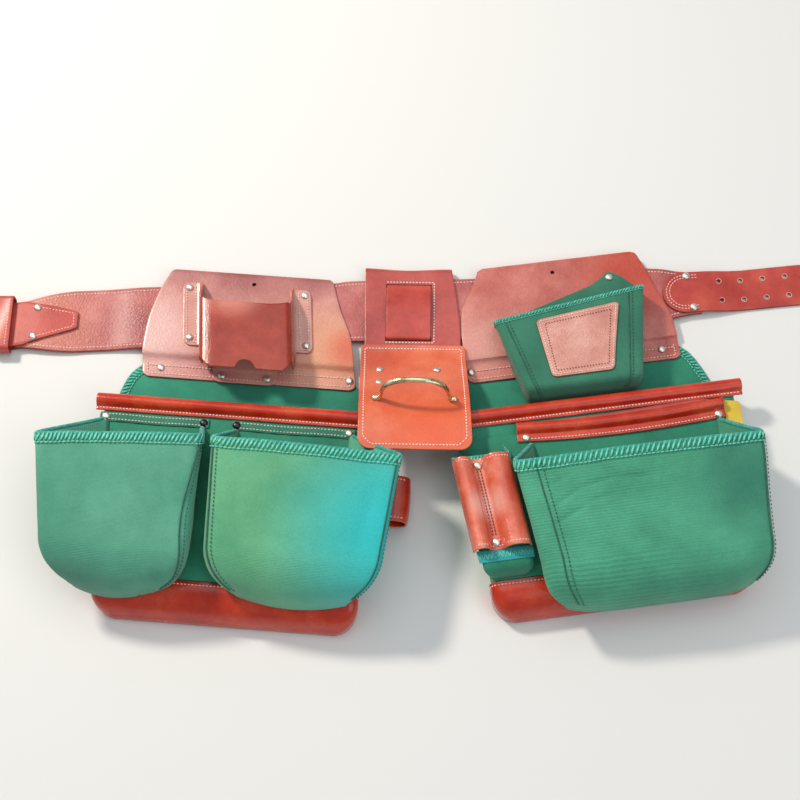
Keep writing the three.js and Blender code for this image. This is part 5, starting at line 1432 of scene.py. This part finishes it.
# Right bag's back and large bag. The same green foam-backed nylon as the left bag's, hung from its own yoke.
RIGHT_HALF = 142.5
RIGHT_DROP = 353
RIGHT_MOUTH = 137
on_right = laid(7.5, 177, 8.8)
outline = [(-0.82, -66), (-0.95, -79), (-1.03, -103), (-1.06, -124), (-0.96, -323), (-0.94, -338)]
outline += [(0.92, -338), (0.94, -323), (1.0, -124), (0.95, -103), (0.87, -79), (0.78, -66)]
form = outline_sheet([(x * RIGHT_HALF, y, 3) for x, y in outline], on_right, FABRIC / 2)
node_piece("right_back_panel", form, back_green, "green_fabric", wall=FABRIC, edge=0.9)

bound_edge("right_back_binding", [(0.78 * RIGHT_HALF, -66), (0.87 * RIGHT_HALF, -79),
                                  (0.95 * RIGHT_HALF, -103), (1.0 * RIGHT_HALF, -124)], on_right, (40, -110))

RIGHT_MAIN_ROW = (1, (-1.06, 124 / 353, 1.0, 124 / 353),
                  (-1.1, 137 / 353, 1.12, 137 / 353), (-0.98, -0.96, 0.96, 0.94))
right_main = bag_form(RIGHT_HALF, RIGHT_DROP, RIGHT_MAIN_ROW, depth=MAIN_DEPTH, edge=12, roll=30, corner=22,
                      floor=BAND_FLOOR)
form = bag_sheet(right_main, on_right, FABRIC)
node_piece("right_main_bag", form, body_green, "green_fabric", wall=FABRIC, edge=0)

boot("right", right_main, on_right, RIGHT_HALF,
     [(-0.96, -323), (-0.91, -341), (-0.8, -351), (0.8, -351), (0.9, -341), (0.94, -323)])

right_mouth = mouth_line(right_main, on_right, 0.008)
form = rolled_rim(right_mouth, MAIN_RIM,
                  lambda u: (0.95 + 0.12 * math.sin(4 * u + 2) + 0.04 * math.sin(19 * u), 1.0))
node_piece("right_main_rim", form, glossy_leather, "glossy_leather", wall=2.4, edge=0.6, rim=bright_edge)
form = bmesh.new()
flange_stitches(form, right_mouth, 8.2, 2.8)
finished("right_rim_stitching", form, pale_thread, "glossy_leather")

# Right pouch panel and pouch rim. The panel carries the pouches; a broad double roll of glossy leather, the
# upper one a fold that widens to the right, trims the mouth behind the large pouch.
RIGHT_PANEL_TOP = -RIGHT_MOUTH - 11 - 10
corners = [(-1.08, RIGHT_PANEL_TOP - 4), (0.96, RIGHT_PANEL_TOP - 4), (0.94, -318), (-0.97, -318)]
form = outline_sheet([(x * RIGHT_HALF, y, 4) for x, y in corners], on_right, PANEL_FLOOR + FABRIC / 2)
node_piece("right_pouch_panel", form, body_green, "green_fabric", wall=FABRIC, edge=0.9)

POUCH_RIM = [(-15, 1.5), (-11, 1.5), (-6.2, 1.6), (-4.6, 3.0), (-2.3, 5.2), (1.2, 6.5), (4.2, 5.2),
             (6.0, 2.0), (5.9, -0.6), (4.6, -1.5)]


def middle_line(share):
    x = mix(-0.62, 0.96, share) * RIGHT_HALF
    return on_right((x, RIGHT_PANEL_TOP - 4 + 5 * (2 * share - 1) ** 2, PANEL_FLOOR + FABRIC))


form = rolled_rim(middle_line, POUCH_RIM, lambda u: (0.9 + 0.35 * u + 0.05 * math.sin(15 * u), 1.0))
node_piece("right_pouch_rim", form, glossy_leather, "glossy_leather", wall=2.4, edge=0.6,
           rim=bright_edge)


def fold_place(u, v):
    """A slack fold of the rim's leather between the two rolls, narrow on the left and wide on the right."""
    wide = mix(0.6, 9.5, u) * math.sin(math.pi * min(1, u * 1.02 + 0.05)) ** 0.4
    x = mix(-0.58, 0.97, u) * RIGHT_HALF
    y = RIGHT_PANEL_TOP - 4 + 5 * (2 * u - 1) ** 2 + 5.5 + wide * v
    return on_right((x, y, PANEL_FLOOR + FABRIC + 0.6 + (1.8 + 2.4 * u) * math.sin(math.pi * v) ** 0.7))


form = bent_grid(70, 12, fold_place, size=(220, 12))
finished("right_rim_fold", form, maroon, "glossy_leather", wall=1.6, edge=0.4)
form = bmesh.new()
flange_stitches(form, middle_line, 12.2, 3.0, low=0.03, high=0.97)
finished("right_pouch_rim_stitching", form, pale_thread, "glossy_leather")

# Right pouch. The largest pouch, ribbed where its cloth is stretched and wrinkled in arcs under its mouth.
RIGHT_ROW = (1.035, (-0.53, 0.495, 0.91, 0.49),
             (-0.76, 0.598, 1.155, 0.598), (-0.67, -0.56, 1.045, 0.86))
wrinkles = [(-74, -264, -40, -246, 2.2, 4), (-46, -247, 0, -239, 2.2, 4), (-6, -240, 38, -244, 1.8, 4.5),
            (-80, -284, -34, -263, 2.0, 4), (-40, -263, -4, -256, 1.6, 4), (-76, -240, -50, -232, 1.6, 4),
            (-60, -300, -42, -340, 1.0, 8), (120, -230, 150, -320, 1.4, 9)]
right_pouch = bag_form(RIGHT_HALF, RIGHT_DROP, RIGHT_ROW, **{**POUCH_SIZES, "corner": 29, "bow": 5},
                       shape=soft_shape(8.0, 2.4, wrinkles))
# Darker down the right pouch's right side: painted shade where it turns away from the light; a paler patch sits
# left of its middle.
right_green = fabric("green_ribbed_nylon_pouch", "#399473", "#52b48f", rib=3.6, rib_fade=(170, 330),
                     tints=[((345, -230, 60), 90, "#1f7766", 0.7), ((150, -250, 60), 60, "#4fb08c", 0.4)])
padded_pouch("right_outer", right_pouch, on_right, right_green, 1.8,
             {"left": lambda t: GUSSET + CORNER + 0.03, "right": lambda t: 1 - GUSSET - CORNER * 0.8},
             columns=150, straight=60, roll=24)

# Right side pouch and tool sleeve. A narrow pouch at the bag's inner edge, and on its front a glossy hide
# sewn down at both edges and the middle, so that it has two channels for pencils or punches.
SIDE_ROW = (0.895, (-1.07, 0.495, -0.73, 0.495),
            (-1.165, 0.535, -0.71, 0.535), (-1.06, -0.97, -0.67, -0.68))
side_pouch = bag_form(RIGHT_HALF, RIGHT_DROP, SIDE_ROW, depth=20, edge=6, roll=12, corner=10,
                      floor=POUCH_FLOOR, slump=0.8)
form = bag_sheet(side_pouch, on_right, 2.0, columns=60, straight=30, roll=10)
node_piece("right_side_pouch", form, body_green, "green_fabric", wall=2.0, edge=0)
bound_mouth("right_side_mouth", side_pouch, on_right, out=-1.0, tall=6, pitch=4.2, width=0.9, core=1.6)


def tape_place(u, v):
    return on_right(bag_front(side_pouch, bag_level(side_pouch, 0.7, mix(0.885, 0.995, v)), u))


cyan_tape = fabric("cyan_binding_tape", "#1f9aa0", "#3cc0c0", weave=0.9)
form = bent_grid(30, 8, tape_place, size=(57, 12))
finished("right_side_tape", form, cyan_tape, "green_fabric", wall=1.0, edge=0.3)
form = bmesh.new()
for i in range(15):
    for low, high in ((0.18, 0.82), (0.82, 0.18)):
        start = (i + (0 if low < high else 0.5)) / 15
        thread_between(form, tape_place(start, low) + Vector((0, 0, 0.7)),
                       tape_place(min(1, start + 0.5 / 15), high) + Vector((0, 0, 0.7)), 0.6)
finished("right_tape_zigzag", form, teal_loops, "green_fabric")

SLEEVE_ROWS = [(0, 0), (0.025, 0.4), (0.05, 0.72), (0.1, 0.9), (0.15, 0.95), (0.21, 0.86), (0.27, 0.6),
               (0.3, 0.15), (0.33, 0), (0.5, 0), (0.53, 0.15), (0.58, 0.6), (0.65, 0.92), (0.74, 1.0), (0.84, 0.93),
               (0.94, 0.7), (0.98, 0.35), (1, 0)]
sleeve_level = bag_level(side_pouch, 0, 0.1)
SLEEVE_LEFT = sleeve_level["left"]["front"] + 1
SLEEVE_TOP = -0.535 * RIGHT_DROP - 3
SLEEVE_FLOOR = POUCH_FLOOR + 20 + GAP
sleeve_bend, sleeve_length = line_through([(x * 60, up * 14, 0) for x, up in SLEEVE_ROWS])


def sleeve_place(u, v):
    x, z, _ = sleeve_bend(u)
    down = 100 * v
    pinch = 1 - 0.1 * math.sin(math.pi * v)
    return on_right((SLEEVE_LEFT + x + 0.075 * down, SLEEVE_TOP - down,
                     SLEEVE_FLOOR + LEATHER / 2 + z * pinch))


# The near-white spot left of the middle is a painted highlight and the dark red down the right edge is painted
# shade; a darker red spot tints the upper left.
sleeve_leather = leather("glossy_sleeve_hide", [(0.28, "#c54a34"), (0.5, "#d9664c"), (0.78, "#f0957c")], 0.24,
                         1.5, 0.18, coat=0.7, tone_and_painted_light=[((112, -228, 68), 34, "#b02511", 0.9),
                                                    ((74, -250, 72), 26, "#f8c0b0", 0.85),
                                                    ((50, -215, 66), 20, "#bf3d27", 0.7)])
form = bent_grid(110, 40, sleeve_place, size=(sleeve_length, 100))
node_piece("right_tool_sleeve", form, sleeve_leather, "glossy_leather", wall=LEATHER, edge=0.6,
           rim=bright_edge)
rows = [[on_right((SLEEVE_LEFT + x + 0.075 * d, SLEEVE_TOP - d, SLEEVE_FLOOR + LEATHER + 0.3))
         for d in range(13, 88, 4)] for x in (0.39 * 60, 0.44 * 60)]
sewn("right_sleeve_stitching", rows, dark_thread, "glossy_leather", pitch=3.4)
over = Vector((0, 0, LEATHER / 2 + 0.35))
rows = [[sleeve_place(mix(0.02, 0.98, i / 60), v) + over for i in range(61)] for v in (0.04, 0.96)]
sewn("right_sleeve_edge_stitching", rows, pale_thread, "glossy_leather", pitch=3.4)

# Right yoke and its pocket. The yoke is a second pebbled hide folded over the belt; sewn on its front is a
# slanted pocket of single green nylon with a peaked flap behind it and a bare patch of grained leather.
RIGHT_YOKE = [(0, -0.8, 0.72), (0.18, -0.88, 0.78), (0.4, -1.02, 0.85), (0.7, -1.06, 0.94), (1, -1.06, 0.95)]
RIGHT_TOP = 55
# The pale spot at the lower left of the front leaf is painted glare; the hide is redder at its upper right.
right_hide = leather("right_yoke_hide_with_painted_glare", [(0.28, "#b0564c"), (0.5, "#c66f65"), (0.78, "#d88c81")], 0.4,
                     2.2, 0.32, coat=0.3, tone_and_painted_light=[((250, 45, 10), 85, "#bd4535", 0.9),
                                                ((78, -45, 10), 55, "#dfa094", 0.8)])
form = yoke_sheet(RIGHT_YOKE, RIGHT_TOP, on_right)
right_yoke = node_piece("right_yoke", form, right_hide, "grained_leather", wall=LEATHER, edge=0.7,
                        rim=cut_edge)
hang_hole(right_yoke, on_right((-0.1 * YOKE_HALF, RIGHT_TOP - 17, FRONT_LEAF + LEATHER / 2)))
yoke_stitches("right_yoke_stitching", RIGHT_YOKE, RIGHT_TOP, on_right)

FLAP_FLOOR = YOKE_TOP + GAP
flap = [(-87.9, -16.6, 3), (-57.9, -11.6, 14), (34.8, 17, 12), (50.5, 31, 5), (62.6, 24, 8), (80.9, 5.2, 3),
        (58.7, -124, 14), (-69.1, -124, 14)]
pocket_green = fabric("green_single_nylon", "#256c57", "#3a8a6d", weave=1.1)
form = outline_sheet(flap, on_right, FLAP_FLOOR + 1.0)
finished("right_pocket_flap", form, pocket_green, "green_fabric", wall=2.0, edge=0.6)
POCKET_ROW = (1, (-1.01, 0.15, 0.93, -0.01),
              (-1.08, 0.25, 0.92, 0.065), (-0.83, -0.8, 0.68, 0.68))
yoke_pocket = bag_form(87, 124, POCKET_ROW, depth=34, edge=7, roll=12, corner=16, floor=FLAP_FLOOR + 1.5,
                       slump=0.7)
form = bag_sheet(yoke_pocket, on_right, 2.0, columns=80, straight=36, roll=12)
node_piece("right_yoke_pocket", form, pocket_green, "green_fabric", wall=2.0, edge=0)
bound_mouth("right_pocket_mouth", yoke_pocket, on_right, out=-1.0, tall=4.6, pitch=3.4, width=0.65,
            core=1.5)
seam("right_pocket_seam_left", yoke_pocket, on_right, lambda t: GUSSET + CORNER + 0.02, 0.03, 1.6, dark_seam)
seam("right_pocket_seam_right", yoke_pocket, on_right, lambda t: 1 - GUSSET - CORNER - 0.045, 0.03, 1.6,
     dark_seam)


def patch_place(u, v, lift=0.0):
    """A place on the patch, whose corners are cut round."""
    down = mix(0.13, 0.93, v)
    reach = min(v, 1 - v) * 88
    tuck = rounding(reach, 6) / 88
    share = mix(mix(0.26, 0.25, v), mix(0.82, 0.75, v), mix(tuck, 1 - tuck, u))
    return on_right(bag_front(yoke_pocket, bag_level(yoke_pocket, GAP + 0.9 + lift, down), share))


suede = leather("bare_patch_leather", [(0.28, "#cc877a"), (0.5, "#e0a193"), (0.78, "#f2c1b3")], 0.62, 1.1,
                0.9, coat=0.1)
form = bent_grid(30, 40, lambda u, v: patch_place(u, eased_ends(v)), size=(90, 90))
node_piece("right_leather_patch", form, suede, "grained_leather", wall=1.8, edge=0.5, rim=cut_edge)
for inset, part, colour, share in ((0.04, "edge", pale_thread, 0.9), (0.1, "stitching", dark_thread, 0.5)):
    far = 1 - inset
    loop = [(inset, inset), (far, inset), (far, far), (inset, far), (inset, inset)]
    sewn("right_patch_" + part, along_edges(loop, lambda u, v: patch_place(u, v, 1.2), 12), colour,
         "grained_leather", pitch=3.2, share=share)

# Right liner. A corner of yellow cloth lining that shows past the pouch panel's upper right corner.
yellow_cloth = fabric("yellow_lining_cloth", "#e0b92c", "#f5d95a", weave=1.0)
form = outline_sheet([(137.8, -152, 2), (157, -155, 4), (154.6, -192, 4), (137.8, -192, 2)], on_right,
                     PANEL_FLOOR + 1)
node_piece("right_liner", form, yellow_cloth, "yellow_lining", wall=2.0, edge=0.5)

# Rivets. Domed tubular caps 9 mm across, nickelled steel, with a dark lip where each has sunk in; two in the
# middle of the left bag are blackened.
black_nickel, tree, shader = new_material("blackened_rivet", metallic=1.0, roughness=0.3,
                                          base_color=hex_colour("#3a3c3f"))
CAP = [(0, 2.2), (1.4, 2.15), (2.6, 1.85), (3.6, 1.25), (4.25, 0.5), (4.4, 0.0), (4.1, -0.3)]


def rivet_cap(form, node, slope=0.0):
    low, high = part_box(node)
    foot = (Vector(low) + Vector(high)) * 0.5 - Vector((0, 0, MM))
    stand = Matrix.Translation(foot) @ Matrix.Rotation(math.atan(slope), 4, "X")
    cap = bmesh.new()
    verts = [cap.verts.new((r * MM, 0, z * MM)) for r, z in CAP]
    edges = [cap.edges.new(pair) for pair in zip(verts, verts[1:])]
    bmesh.ops.spin(cap, geom=verts + edges, cent=(0, 0, 0), axis=(0, 0, 1), angle=math.tau, steps=20,
                   use_merge=True)
    bmesh.ops.remove_doubles(cap, verts=cap.verts, dist=1e-6)
    bmesh.ops.edgeloop_fill(cap, edges=[edge for edge in cap.edges if edge.is_boundary])
    bmesh.ops.recalc_face_normals(cap, faces=cap.faces)
    bmesh.ops.transform(cap, matrix=stand, verts=cap.verts)
    joined(form, cap)


def rivets(name, nodes, material, slope=lambda y: 0.0):
    form = bmesh.new()
    for node in nodes:
        low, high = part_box(node)
        rivet_cap(form, node, slope((low[1] + high[1]) / 2 / MM))
    finished(name, form, material, "rivet_steel", nodes, sharp=50)


def numbered(strap, *numbers):
    return [f"{strap}_rivet_{n}" for n in numbers]


rivets("belt_rivets", numbered("billet_strap", 1, 2) + numbered("buckle_strap", 1, 2), nickel)
rivets("left_yoke_rivets", numbered("left_yoke", 1, 2) + numbered("left_holster", 1, 2, 3, 4)
       + numbered("left_holster_floor", 1, 2), nickel)
rivets("left_pouch_rivets", numbered("left_pouch", 1, 4), nickel)
rivets("left_dark_rivets", numbered("left_pouch", 2, 3), black_nickel)
rivets("hammer_plate_rivets", numbered("hammer_plate", 1, 2, 3, 4), nickel,
       lambda y: (plate_z(y + 4) - plate_z(y - 4)) / 8)
rivets("right_yoke_rivets", numbered("right_yoke", 1, 2) + numbered("right_yoke_pocket", 1), nickel)
rivets("right_pouch_rivets", numbered("right_pouch_rim", 1, 2) + numbered("right_tool_sleeve", 1, 2), nickel)


# Studio. A plain near-white floor, a warm key from the upper left as low as late morning sun, a large soft
# fill, and a camera at the photograph's angle: 22 degrees off straight down, from the foot of the bags.
TARGET = Vector((-14.8, -108.6, 0)) * MM
CAMERA_OFFSET = Vector((0, -561.9, 1390.8)) * MM

paper, tree, shader = new_material("white_paper_floor", roughness=0.9, specular_ior_level=0.2,
                                   base_color=hex_colour("#e2e3e1"))
form = bmesh.new()
bmesh.ops.create_grid(form, x_segments=2, y_segments=2, size=4)
for vert in form.verts:
    vert.co.z = -0.0005
mesh = bpy.data.meshes.new("studio_floor")
form.to_mesh(mesh)
form.free()
mesh.materials.append(paper)
floor = bpy.data.objects.new("studio_floor", mesh)
bpy.context.scene.collection.objects.link(floor)


def area_light(name, place, size, power, colour):
    light = bpy.data.lights.new(name, "AREA")
    light.shape = "DISK"
    light.size = size
    light.energy = power
    light.color = hex_colour(colour)[:3]
    lamp = bpy.data.objects.new(name, light)
    lamp.location = place
    lamp.rotation_euler = (TARGET - Vector(place)).to_track_quat("-Z", "Y").to_euler()
    bpy.context.scene.collection.objects.link(lamp)


area_light("key_light", (-1.5, 1.0, 1.9), 0.35, 52, "#fff5e8")
area_light("fill_light", (1.4, -1.3, 1.8), 1.8, 13, "#f2f5ff")
area_light("top_light", (0.1, 0.3, 2.4), 2.2, 14, "#ffffff")
world = bpy.data.worlds.new("studio")
world.use_nodes = True
world.node_tree.nodes["Background"].inputs[0].default_value = hex_colour("#f4f6f8")
world.node_tree.nodes["Background"].inputs[1].default_value = 0.42
bpy.context.scene.world = world
bpy.context.scene.view_settings.view_transform = "Standard"

camera = bpy.data.cameras.new("camera")
camera.sensor_width = 36
camera.lens = 60.66
view = bpy.data.objects.new("camera", camera)
view.location = TARGET + CAMERA_OFFSET
view.rotation_euler = (TARGET - view.location).to_track_quat("-Z", "Y").to_euler()
bpy.context.scene.collection.objects.link(view)
bpy.context.scene.camera = view
